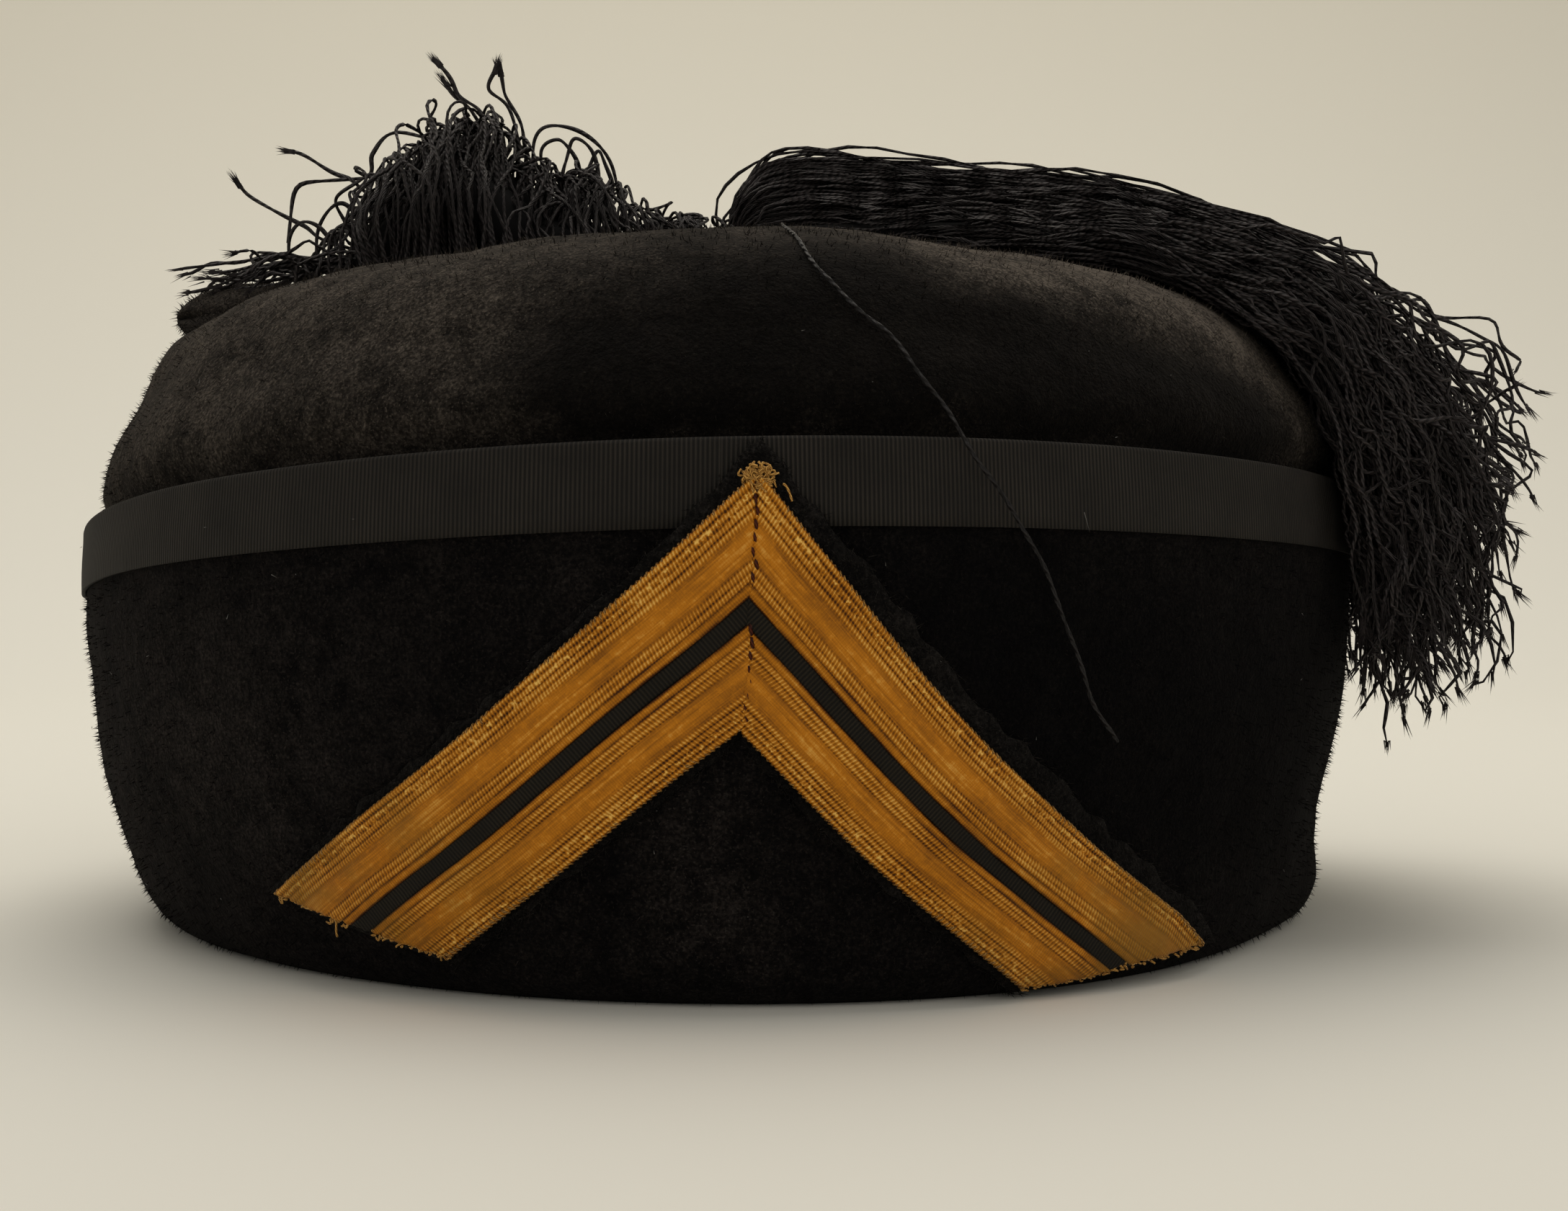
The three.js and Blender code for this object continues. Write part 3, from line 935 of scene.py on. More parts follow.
# painted sheen of the crown's nap in paler and darker strokes; the first stroke is a painted highlight along
# the right shoulder
CROWN_NAP_SHEEN = (
    NapSheenStroke(((23, 104), (38, 101), (50, 96), (60, 89), (66, 80)), 9.5, 0.74),
    NapSheenStroke(((4, 105), (14, 105), (24, 103)), 7, 0.16),
    NapSheenStroke(((-75, 84), (-55, 88), (-38, 90), (-24, 92)), 16, 0.14),
    NapSheenStroke(((-60, 99), (-35, 103), (-12, 104)), 9, 0.14),
    NapSheenStroke(((-8, 82), (12, 84), (30, 83), (46, 78)), 13, -0.24),
    NapSheenStroke(((2, 96), (14, 98), (26, 92)), 7, -0.14),
    NapSheenStroke(((-12, 76), (20, 75), (50, 76)), 6, -0.10),
    NapSheenStroke(((100, 95), (150, 98), (200, 92)), 18, 0.22),
    NapSheenStroke(((120, 70), (190, 75), (250, 80)), 12, -0.1),
)
# painted sheen of the cuff's nap in paler and darker strokes
CUFF_NAP_SHEEN = (
    NapSheenStroke(((-70, 40), (-50, 36), (-38, 30)), 18, 0.10),
    NapSheenStroke(((-88, 20), (-60, 12)), 10, 0.08),
    NapSheenStroke(((20, 40), (45, 30), (70, 36)), 22, -0.08),
    NapSheenStroke(((-2, 24), (0, 10)), 7, 0.10),
    NapSheenStroke(((120, 40), (180, 30), (240, 44)), 20, 0.08),
)


class Nap:
    """Paints the nap's sheen on plush, as painted light, and grows its hair."""

    @staticmethod
    def paint(azimuth: np.ndarray, z: np.ndarray, base: float, strokes: tuple[NapSheenStroke, ...]) -> np.ndarray:
        """How pale the nap's painted sheen is at each place.

        Args:
            azimuth: radians.
            z: height, mm.
            base: the value where no stroke reaches.
            strokes: the strokes.

        Returns:
            Values from 0 to 1.
        """
        value = np.full(np.broadcast(azimuth, z).shape, base)
        degrees = np.degrees(azimuth)
        warp = noise_sum(stacked(degrees * MM_PER_DEGREE, z, 7.0), (4.2, 11, 61), (2.6, 4.5, 62))
        off_top = 1 - smoothstep(z, 105.3, 106.7)
        for stroke in strokes:
            away = np.full(value.shape, np.inf)
            for turn, height in smooth_profile(np.array(stroke.places, float), 6):
                away = np.minimum(away, np.hypot(half_turn(degrees - turn) * MM_PER_DEGREE, z - height))
            value = value + stroke.strength * off_top * bell(np.maximum(away + warp, 0), stroke.width)
        return np.clip(value, 0, 1)

    @staticmethod
    def grow(
        name: str,
        grid: np.ndarray,
        paint: np.ndarray,
        count: int,
        length: float,
        material: bpy.types.Material,
        slot: Slot,
        rng: np.random.Generator,
    ) -> bpy.types.Object:
        """Grows short hair on a grid of surface points.

        Args:
            name: the piece's name.
            grid: surface points, shape (rows, columns, 3), closed round its columns.
            paint: the value of the nap's painted sheen at each.
            count: how many hairs.
            length: their mean length, mm.
            material: their finish.
            slot: the record's slot; not used.
            rng: the source of chance.

        Returns:
            The object.
        """
        down = np.roll(grid, -1, axis=0)[:-1] - grid[:-1]
        over = np.roll(grid, -1, axis=1)[:-1] - grid[:-1]
        normal = np.cross(over, down)
        area = np.linalg.norm(normal, axis=2)
        pick = rng.choice(area.size, size=count, p=area.ravel() / area.sum())
        row, column = np.unravel_index(pick, area.shape)
        a, b = rng.random((2, count, 1))
        root = grid[row, column] + down[row, column] * a + over[row, column] * b
        outward = unit(normal[row, column])
        centre = AXIS + [0, 0, 45]
        outward *= np.sign((outward * (root - centre)).sum(1, keepdims=True))
        lean = rng.normal(0, 0.55, (count, 3)) + [0, 0, -0.35]
        reach = length * rng.uniform(0.55, 1.35, (count, 1))
        tip = root + unit(outward + lean * 0.8) * reach
        root = root - outward * 0.25
        for ends in (root, tip):
            ends[:, 2] = np.maximum(ends[:, 2], 0.1)
        # each hair takes the painted sheen where it grows, with a random spread
        shade = paint[row, column] + rng.normal(0, 0.08, count)
        return Meshes.spikes(name, root, tip, 0.11, material, slot, shade=shade)


@dataclass
class Crown:
    """The soft crown with its folded shoulder."""

    columns: int = 280
    hairs: int = 16500
    fold_hairs: int = 1500
    pale: float = 0.19  # the value of the nap's painted sheen where no stroke reaches

    def build(self, rng: np.random.Generator) -> None:
        """Makes the crown, its nap and the fold of felt at its left shoulder.

        Args:
            rng: the source of chance.
        """
        finish = PlushFinish("plush_crown", (0.0014, 0.0012, 0.0012), (0.100, 0.084, 0.070), 0.035).material()
        outside, inside = self.profiles()
        outer, inner = self.surface(outside, 0.8), self.surface(inside, 0.0)
        inner[-1], outer[-1] = inner[-1].mean(0), outer[-1].mean(0)
        azimuth = turns(self.columns)[None]
        paint_out = Nap.paint(azimuth, outside[:, :1], self.pale, CROWN_NAP_SHEEN)
        paint_in = Nap.paint(azimuth, inside[:, :1], self.pale, CROWN_NAP_SHEEN)
        rows, paint = np.concatenate([outer[::-1], inner]), np.concatenate([paint_out[::-1], paint_in])
        points, faces, values = self.close(rows, paint)
        piece = Meshes.make("crown_plush", points, faces, finish, Slot.PLUSH, paint=values)
        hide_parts("crown")
        shown = outside[:, 0] > CROWN_SHOWS
        Nap.grow("crown_nap", outer[shown], paint_out[shown], self.hairs, 0.9, finish, Slot.PLUSH, rng)
        self.fold(finish, rng)

    @staticmethod
    def profiles() -> tuple[np.ndarray, np.ndarray]:
        """The crown's outside, from its foot in the cuff up to the pole, and its inside.

        Returns:
            Two lines of (height, radius).
        """
        foot = PLUSH + GAP
        hidden = CUFF_PROFILE[(CUFF_PROFILE[:, 0] > foot) & (CUFF_PROFILE[:, 0] < 62)]
        low = np.concatenate([[[foot, Form.cuff_radius(foot)]], hidden]) - [0, foot]
        outside = np.concatenate([smooth_profile(low, 2), smooth_profile(CROWN_PROFILE, 7)])
        inside = (outside - outward_of(outside) * PLUSH)[::4]
        inside[:, 1] = np.maximum(inside[:, 1], 0)
        inside[0] = outside[0] - [0, PLUSH]
        return outside, inside

    def surface(self, profile: np.ndarray, relief: float) -> np.ndarray:
        """Turns a profile into a grid of points with soft lumps.

        Args:
            profile: line of (height, radius).
            relief: size of the lumps, mm.

        Returns:
            Points, shape (rows, columns, 3).
        """
        z, radius = profile[:, :1], profile[:, 1:]
        grid = Form.soften(radius, turns(self.columns)[None], z)
        outward = unit(grid - (AXIS + [0, 0, 40]))
        fade = np.minimum(1, radius / 25) * smoothstep(z, CROWN_SHOWS, CROWN_SHOWS + 10)
        lump = noise_sum(grid, (1.0, 21, 3), (0.5, 9, 4), (0.22, 3.5, 5))
        return grid + outward * (relief * lump * fade)[..., None]

    @staticmethod
    def close(rows: np.ndarray, paint: np.ndarray) -> tuple[np.ndarray, np.ndarray, np.ndarray]:
        """Closes a grid whose first and last rows each meet in one point.

        Args:
            rows: points, shape (rows, columns, 3).
            paint: values for them.

        Returns:
            Points, quads and values. Each quad at a pole spans two columns.
        """
        count, columns = rows.shape[:2]
        body = rows[1:-1].reshape(-1, 3)
        first_pole, last_pole = len(body), len(body) + 1
        c, last = np.arange(0, columns, 2), (count - 3) * columns
        first_cap = stacked(c, c + 1, (c + 2) % columns, first_pole)
        last_cap = stacked(last + (c + 2) % columns, last + c + 1, last + c, last_pole)
        faces = np.concatenate([Meshes.grid_faces(count - 2, columns)[:, ::-1], first_cap, last_cap])
        points = np.concatenate([body, rows[0, :1], rows[-1, :1]])
        values = np.concatenate([paint[1:-1].ravel(), paint[0, :1], paint[-1, :1]])
        return points, faces, values

    def fold(self, finish: bpy.types.Material, rng: np.random.Generator) -> None:
        """Makes the roll of felt at the left of the crown's top, with its nap.

        Args:
            finish: the crown's material.
            rng: the source of chance.
        """
        across = np.linspace(0, math.pi, 36)[:, None]
        around = turns(64)
        degrees = np.degrees(around)[:, None]
        ball = stacked(np.cos(across), np.sin(across) * np.sin(around), np.sin(across) * np.cos(around))
        groove = 1 - 0.16 * bell(degrees - 150, 16) - 0.12 * bell(degrees - 300, 14)
        c, s = math.cos(math.radians(14)), math.sin(math.radians(14))
        grid = ball * groove * [13.5, 15.0, 6.6] @ np.array([[c, s, 0], [-s, c, 0], [0, 0, 1]])
        grid[..., 2] -= 0.022 * grid[..., 1] ** 2  # it bends down along the shoulder
        grid = grid + AXIS + [-80.2, -2.5, 101.2]
        lump = noise_sum(grid, (0.7, 6, 8), (0.35, 2.6, 9))
        grid = grid + unit(grid - (AXIS + [-80.2, -4.5, 99.4])) * lump[..., None]
        grid[0], grid[-1] = grid[0].mean(0), grid[-1].mean(0)
        # painted light: the roll's sheen grows paler towards its top, where the light falls
        paint = 0.12 + 0.2 * smoothstep(ball[..., 2], 0.0, 0.9)
        points, faces, values = self.close(grid, paint)
        Meshes.make("crown_fold", points, faces, finish, Slot.PLUSH, paint=values)
        grid, paint = grid[1:-1], paint[1:-1]
        Nap.grow("crown_fold_nap", grid, paint, self.fold_hairs, 1.1, finish, Slot.PLUSH, rng)


@dataclass
class Cuff:
    """The turned-up cuff, which stands on its flat fold."""

    columns: int = 280
    hairs: int = 15000
    pale: float = 0.06  # the value of the nap's painted sheen where no stroke reaches

    def build(self, rng: np.random.Generator) -> None:
        """Makes the cuff and its nap.

        Args:
            rng: the source of chance.
        """
        finish = PlushFinish("plush_cuff", (0.0007, 0.0007, 0.0010), (0.066, 0.055, 0.050), 0.012).material()
        azimuth = turns(self.columns)[None]
        outside = smooth_profile(CUFF_PROFILE, 6)
        walls = outside[outside[:, 0] > PLUSH]
        inside = (walls - [0, PLUSH])[::-5]
        inner_foot = CUFF_PROFILE[0, 1] - FOOT_WIDTH
        foot = [[PLUSH, Form.cuff_radius(PLUSH) - PLUSH], [PLUSH, inner_foot], [0, inner_foot]]
        profile = np.concatenate([outside, inside, foot])
        z = profile[:, :1]
        grid = Form.soften(profile[:, 1:], azimuth, z)
        lump = noise_sum(grid, (0.5, 19, 13), (0.3, 8, 14), (0.16, 3.2, 15))
        shown = np.arange(len(profile)) < len(outside)
        fade = shown[:, None] * smoothstep(z, 1, 6) * (1 - smoothstep(z, 54, 59))
        grid = grid + Form.sideways(grid) * (lump * fade)[..., None]
        paint = Nap.paint(azimuth, z, self.pale, CUFF_NAP_SHEEN)
        faces = Meshes.grid_faces(len(profile), self.columns, close_rows=True)
        points, values = grid.reshape(-1, 3), paint.ravel()
        piece = Meshes.make("cuff_plush", points, faces, finish, Slot.CUFF, paint=values)
        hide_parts("cuff")
        hairy = shown & (profile[:, 0] > 0.4) & (profile[:, 0] < RIBBON_LOW + 0.5)
        Nap.grow("cuff_nap", grid[hairy], paint[hairy], self.hairs, 0.95, finish, Slot.CUFF, rng)


@dataclass
class RibbonBinding:
    """The ribbed ribbon that binds the cuff's edge on both sides."""

    columns: int = 400
    rib_mm: float = 0.6
    unroll_radius: float = 107.0

    @staticmethod
    def profile() -> np.ndarray:
        """The ribbon's section, closed round the cuff's edge.

        Returns:
            Lines of (height, radius).
        """
        edge, t = CUFF_HEIGHT + GAP, RIBBON_THICKNESS
        outer = [[z, float(Form.cuff_radius(z)) + GAP + t] for z in np.linspace(RIBBON_LOW, edge, 7)]
        inner_z = np.linspace(edge, CUFF_HEIGHT - RIBBON_TURN_IN, 4)
        inner = [[z, float(Form.cuff_radius(z)) - PLUSH - GAP - t] for z in inner_z]
        far, near = outer[-1][1], inner[0][1]
        ridge = [[edge + 0.42, far - 0.15], [edge + t, far - 0.7]]
        ridge += [[edge + t, near + 0.7], [edge + 0.42, near + 0.15]]
        back = [[z, r + t] for z, r in inner[::-1]] + [[z, r - t] for z, r in outer[::-1]]
        return np.array([*outer, *ridge, *inner, *back])

    def build(self) -> None:
        """Makes the ribbon."""
        finish = RibbonFinish("ribbon_silk", (0.029, 0.0245, 0.020), self.rib_mm).material()
        profile = self.profile()
        azimuth = np.arange(self.columns + 1) * 2 * math.pi / self.columns
        grid = Form.soften(profile[:, 1:], azimuth[None], profile[:, :1])
        grid = grid + Form.sideways(grid) * (0.16 * value_noise(grid, 24, 21))[..., None]
        grid[:, -1] = grid[:, 0]
        faces = Meshes.grid_faces(*grid.shape[:2], close_rows=True, close_columns=False)
        uv = stacked(azimuth[None] * self.unroll_radius, run(profile)[:, None]).reshape(-1, 2)
        piece = Meshes.make("ribbon", grid.reshape(-1, 3), faces, finish, Slot.RIBBON, uv=uv)
        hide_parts("ribbon_binding")


STRIPE_REACH = (10.9, 14.1)  # mm in from the chevron's outer edge, with a margin
# Length of each leg from the seam, on its outer and on its inner edge
LEG_LENGTHS = {Side.LEFT: (91.8, 51.3), Side.RIGHT: (95.6, 52.0)}
# How sewing has bowed each leg: over what length, how deep, and the phase of its ripple
LEG_BOWS = {Side.LEFT: (95, 3.1, 0.0), Side.RIGHT: (88, 4.7, 1.7)}


@dataclass(frozen=True)
class Weave:
    """How a strip is woven: its relief and the painted shade of its grooves across its width, and its finish.
    """

    relief: np.ndarray
    groove_shade: np.ndarray | None
    finish: bpy.types.Material
    slot: Slot


FRAY_STEPS = 7  # points along a loose gold thread


@dataclass
class Chevron:
    """The rank chevron: gold braid with a black stripe, on a felt backing."""

    apex: tuple[float, float] = (4.5, 71.0)  # across the front, and height
    turn: float = math.radians(2.6)  # its lean to the right
    slope: float = math.radians(41.3)  # of its legs
    width: float = 24.7  # of a leg
    felt: float = 1.1  # thickness of the felt
    strip_rows: int = 160
    fuzz_hairs: int = 6500

    def place(self, side: Side, along: np.ndarray, across: np.ndarray) -> tuple[np.ndarray, np.ndarray]:
        """A point of a leg, on the unrolled cuff.

        Args:
            side: which leg.
            along: mm from the seam, along the outer edge.
            across: mm in from the outer edge.

        Returns:
            Distance across the front, and height.
        """
        k = side.value
        x = k * math.cos(self.slope) * along - k * math.sin(self.slope) * across
        y = -math.sin(self.slope) * along - math.cos(self.slope) * across
        c, s = math.cos(-self.turn), math.sin(-self.turn)
        return self.apex[0] + c * x - s * y, self.apex[1] + s * x + c * y

    def seam(self, across: np.ndarray) -> np.ndarray:
        """Where a line at that distance from the outer edge meets the seam."""
        return across * math.tan(self.slope)

    def end(self, side: Side, across: np.ndarray) -> np.ndarray:
        """Where that line ends at the cut end of the leg."""
        outer, inner = LEG_LENGTHS[side]
        return outer + (self.seam(self.width) + inner - outer) * across / self.width

    def pucker(self, side: Side, along: np.ndarray, across: np.ndarray) -> np.ndarray:
        """How far hand sewing has pulled the braid sideways.

        Args:
            side: which leg.
            along: mm from the seam.
            across: mm in from the outer edge.

        Returns:
            Distance inwards, in mm.
        """
        span, depth, phase = LEG_BOWS[side]
        bow = np.sin(math.pi * np.clip(along / span, 0, 1)) * (depth - 3.1 * across / self.width)
        return bow + 0.16 * np.sin(along / 7.0 + phase) * smoothstep(along, 8, 20)

    def sewn(self, side: Side, along: np.ndarray, across: np.ndarray) -> tuple[np.ndarray, np.ndarray]:
        """A point of a leg as sewing has left it, as distance across the front and height."""
        return self.place(side, along, across + self.pucker(side, along, across))

    def strip(
        self, name: str, side: Side, lane: tuple[float, float], weave: Weave, flip: bool
    ) -> bpy.types.Object:
        """Makes one strip of a leg.

        Args:
            name: its node's name, which also seeds its own unevenness.
            side: which leg.
            lane: its outer and inner edge, mm in from the chevron's outer edge.
            weave: its relief, the painted shade of its grooves, and its finish.
            flip: whether the weave runs from the inner edge outwards.

        Returns:
            The object.
        """
        share = np.linspace(0, 1, len(weave.relief))[None]
        across = lane[0] + (lane[1] - lane[0]) * (1 - share if flip else share)
        t = np.linspace(0, 1, self.strip_rows)[:, None]
        seed = sum(map(ord, name))
        start, stop = self.seam(across) + 0.25, self.end(side, across)
        ragged = 0.3 * value_noise(stacked(across * 2.3, 0.0, 0.0), 1.0, seed)
        along = start + (stop + ragged - start) * t
        spot = stacked(along, across, 0.0)
        worn = 1 - 0.55 * smoothstep(along, stop - 22, stop - 4) * (value_noise(spot, 9, seed + 2) > -0.2)
        cut_end = np.clip(1 - np.minimum(t, 1 - t) * 200, 0, 1)
        base = self.felt + GAP
        off = base + 0.5 + weave.relief * worn + noise_sum(spot, (0.16, 7, seed), (0.08, 2.5, seed + 1))
        over, up = self.sewn(side, along, across)
        upper = Form.on_cuff(over, up, off - 0.3 * cut_end)
        points, faces = Meshes.plate(upper, Form.on_cuff(over, up, base - 0.1))
        if (side.value > 0) == flip:
            faces = faces[:, ::-1]
        uv = np.tile(stacked(along, share).reshape(-1, 2), (2, 1))
        # the painted shade in the grooves between cords, read by the finish
        paint = None
        if weave.groove_shade is not None:
            paint = np.tile(np.broadcast_to(weave.groove_shade, along.shape).ravel(), 2)
        return Meshes.make(f"{name}_silk", points, faces, weave.finish, weave.slot, uv=uv, paint=paint)

    @staticmethod
    def gold_section(columns: int) -> tuple[np.ndarray, np.ndarray]:
        """The section of gold braid.

        Args:
            columns: how many places across its width.

        Returns:
            The relief at each place, and how dark its grooves are.
        """
        share = np.linspace(0, 1, columns)
        relief, groove_shade = np.zeros(columns), np.zeros(columns)
        for band in GOLD_BANDS:
            inside = (share >= band.start) & (share <= band.end)
            phase = (share - band.start) / (band.end - band.start) * band.cords
            # dark: how deep the painted shade in a groove gets
            roundness, dark = (0.35, 0.5) if band.kind is Band.SATIN else (0.8, 0.9)
            rounded = np.abs(np.sin(math.pi * phase)) ** roundness
            relief = np.where(inside, band.relief * rounded, relief)
            groove_shade = np.where(inside, (1 - rounded) * dark, groove_shade)
        return relief, groove_shade

    def build(self, rng: np.random.Generator) -> None:
        """Makes the felt, the strips, the seam's stitches and the frayed ends.

        Args:
            rng: the source of chance.
        """
        self.backing(rng)
        gold = Weave(*self.gold_section(34), GoldFinish("gold_silk").material(), Slot.GOLD)
        black = RibbonFinish("stripe_silk", (0.022, 0.017, 0.010), 0.5).material()
        stripe = Weave(np.full(8, -0.05), None, black, Slot.STRIPE)
        lanes = (("outer", (0.0, 11.3), True), ("inner", (13.9, self.width - 0.1), False))
        for side in Side:
            word = side.name.lower()
            for lane, edges, flip in lanes:
                name = f"braid_{lane}_{word}"
                piece = self.strip(name, side, edges, gold, flip)
                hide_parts(name)
            piece = self.strip(f"stripe_{word}", side, (11.35, 13.85), stripe, False)
            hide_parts(f"stripe_{word}")
        self.stitches(rng)
        self.whipping(rng)
        self.fray(rng)

    def backing(self, rng: np.random.Generator) -> None:
        """Makes the felt under the braid, with a fuzzy border that is wider on the right.

        Args:
            rng: the source of chance.
        """
        finish = PlushFinish("felt_black", (0.001, 0.001, 0.0012), (0.05, 0.044, 0.04), 0.03).material()
        rows, columns = 201, 26
        s = np.linspace(0, 1, rows)[:, None]
        t = np.linspace(0, 1, columns)[None]
        left, share = s < 0.5, np.abs(s - 0.5) * 2
        outer = -(2.6 + (np.where(left, 1.6, 3.6) - 2.6) * np.minimum(1, share * 4))
        across = self.width + 1.0 + (outer - self.width - 1.0) * t
        legs = []
        for side in Side:
            start, stop = self.seam(across), self.end(side, across) + 1.2
            along = start + (stop - start) * share
            ragged = value_noise(stacked(along, across, 0.0), 3.0, 31) * 0.7 * np.abs(2 * t - 1) ** 6
            bow = self.pucker(side, np.clip(along, 0, 88), np.clip(across, 0, self.width))
            legs.append(self.place(side, along, across + ragged + bow))
        x, y = np.where(left, legs[0], legs[1])
        edge = np.minimum(np.minimum(t, 1 - t) * columns, np.minimum(s, 1 - s) * rows / 2)
        round_edge = np.clip(edge / 2, 0, 1)
        rough = noise_sum(stacked(x, y, 0.0), (0.25, 3.0, 33), (0.15, 1.4, 34))
        height = (self.felt - 0.1) * (0.5 + 0.5 * round_edge) + rough * round_edge * 0.3
        upper = Form.on_cuff(x, y, height)
        points, faces = Meshes.plate(upper, Form.on_cuff(x, y, -0.05))
        faces = faces[:, [0, 3, 2, 1]]  # its rows run the other way round
        paint = np.full(len(points), 0.12)
        piece = Meshes.make("chevron_felt_cloth", points, faces, finish, Slot.FELT, paint=paint)
        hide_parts("chevron_felt")
        self.fuzz(upper, finish, rng)

    def fuzz(self, upper: np.ndarray, finish: bpy.types.Material, rng: np.random.Generator) -> None:
        """Makes loose wool along the felt's border.

        Args:
            upper: the felt's face, shape (rows, columns, 3).
            finish: its material.
            rng: the source of chance.
        """
        (rows, columns), count = upper.shape[:2], self.fuzz_hairs
        outer = rng.random(count) < 0.62
        lane = np.where(outer, columns - 1 - rng.integers(0, 5, count), rng.integers(0, 2, count))
        row = rng.integers(0, rows, count)
        root = upper[row, lane] + rng.normal(0, 0.25, (count, 3))
        outward = Form.sideways(root)
        tip = root + unit(outward + rng.normal(0, 0.8, (count, 3))) * rng.uniform(0.5, 1.7, (count, 1))
        shade = rng.normal(0.2, 0.15, count)
        Meshes.spikes("felt_fuzz", root - outward * 0.3, tip, 0.07, finish, Slot.FELT, shade=shade)

    def stitches(self, rng: np.random.Generator) -> None:
        """Makes the dark red thread along the seam.

        Args:
            rng: the source of chance.
        """
        finish = ThreadFinish("seam_thread", (0.02, 0.003, 0.002), (0.11, 0.02, 0.008), 1.0).material()
        steps = 5
        off = 1.75 + 0.3 * np.sin(np.linspace(0, math.pi, steps))
        slant = np.linspace(-0.15, 0.15, steps)
        paths = []
        for across in np.arange(1.0, self.width - 0.3, 1.25):
            if STRIPE_REACH[0] < across < STRIPE_REACH[1]:
                continue
            reach = np.linspace(across, across + 1.0, steps)
            left, right = (self.place(side, self.seam(reach), reach) for side in Side)
            x = (left[0] + right[0]) / 2 + rng.normal(0, 0.16) + slant
            paths.append(Form.on_cuff(x, (left[1] + right[1]) / 2, off))
        Meshes.tubes("seam_stitches", np.array(paths), 0.24, 4, finish, Slot.STRIPE)

    def whipping(self, rng: np.random.Generator) -> None:
        """Makes the slanted stitches over the chevron's outer and inner edges.

        Args:
            rng: the source of chance.
        """
        finish = ThreadFinish("whipping_gold", (0.09, 0.03, 0.004), (0.62, 0.34, 0.09), 0.5).material()
        t = np.linspace(0, 1, 5)
        paths = []
        for side in Side:
            for edge, inward in ((0.0, 1), (self.width - 0.1, -1)):
                first, last = self.seam(edge) + 0.6, self.end(side, edge) - 0.4
                for along in np.arange(first, last, 0.85):
                    across = edge + inward * (t * rng.uniform(0.75, 1.15) - 0.12)
                    x, y = self.sewn(side, along + t * 0.75 + rng.normal(0, 0.08), across)
                    off = 1.35 + 0.75 * np.sin(0.35 + 2.3 * t) + rng.normal(0, 0.05)
                    paths.append(Form.on_cuff(x, y, off))
        radii = np.array([0.12, 0.2, 0.23, 0.2, 0.12])
        Meshes.tubes("edge_whipping", np.array(paths), radii, 4, finish, Slot.GOLD)

    @staticmethod
    def curl(
        x: float, y: float, off: float, lean: tuple[float, float], size: float, rng: np.random.Generator
    ) -> np.ndarray:
        """One short loose thread.

        Args:
            x: distance across the front of its root.
            y: height of its root.
            off: its distance off the cuff.
            lean: which way it lies.
            size: its length, mm.
            rng: the source of chance.

        Returns:
            Its path.
        """
        t = np.linspace(0, 1, FRAY_STEPS)
        arch = np.sin(math.pi * t)
        bend = rng.normal(0, size * 0.45, (2,))
        px, py = x + lean[0] * t * size + bend[0] * arch, y + lean[1] * t * size + bend[1] * arch
        return Form.on_cuff(px, py, off + 0.25 * arch * size)

    def fray(self, rng: np.random.Generator) -> None:
        """Makes pale gold threads that have come loose at the apex, the cut ends and the outer edges.

        Args:
            rng: the source of chance.
        """
        finish = ThreadFinish("frayed_gold", (0.26, 0.10, 0.010), (0.95, 0.55, 0.15), 0.9).material()
        paths = []
        for _ in range(110):
            angle, ring = rng.uniform(0, 2 * math.pi), 1.5 * math.sqrt(rng.random())
            x = self.apex[0] + 0.1 + ring * math.cos(angle)
            y = self.apex[1] - 0.9 + ring * 0.9 * math.sin(angle)
            turn = rng.uniform(0, 2 * math.pi)
            off, size = rng.uniform(1.3, 2.2), rng.uniform(0.4, 1.1)
            paths.append(self.curl(x, y, off, (math.cos(turn), math.sin(turn)), size, rng))
        for side in Side:
            for across in np.arange(0.2, self.width, 0.34):
                if STRIPE_REACH[0] < across < STRIPE_REACH[1] and side is Side.LEFT:
                    continue
                along = self.end(side, across) + rng.uniform(-0.9, 0.4)
                x, y = self.sewn(side, along, across)
                size, lean = rng.uniform(0.3, 0.9), (side.value * 0.9, rng.uniform(-0.7, 0.2))
                paths.append(self.curl(x, y, 1.6, lean, size, rng))
        # the two longer ones: from the left leg's end, and below the apex on the right
        t = np.linspace(0, 1, FRAY_STEPS)
        x, y = self.place(Side.LEFT, self.end(Side.LEFT, 9.4), 9.4)
        paths.append(Form.on_cuff(x + 0.1 * np.sin(6 * t), y - 2.9 * t, 1.9))
        x, y = self.place(Side.RIGHT, 3.2, -0.9)
        paths.append(Form.on_cuff(x + 1.1 * t, y - 0.2 - 2.2 * t**2, 2.0))
        Meshes.tubes("braid_fray", np.array(paths), 0.15, 4, finish, Slot.GOLD)


HEAD = np.array([1.0, 0.0, 112.0])
# How high the heap of thread stands, by place across the hat
HEAP_RIDGE = np.array(
    [(-72, 112.0), (-66, 118.0), (-62, 125.0), (-57, 131.5), (-50, 136.5), (-45, 139.0)]
    + [(-40, 139.5), (-36, 136.5), (-33.5, 130.0), (-30, 129.0), (-24, 129.5), (-18, 126.5)]
    + [(-14, 123.0), (-9, 122.5), (-2, 121.5), (3, 122.0)]
)
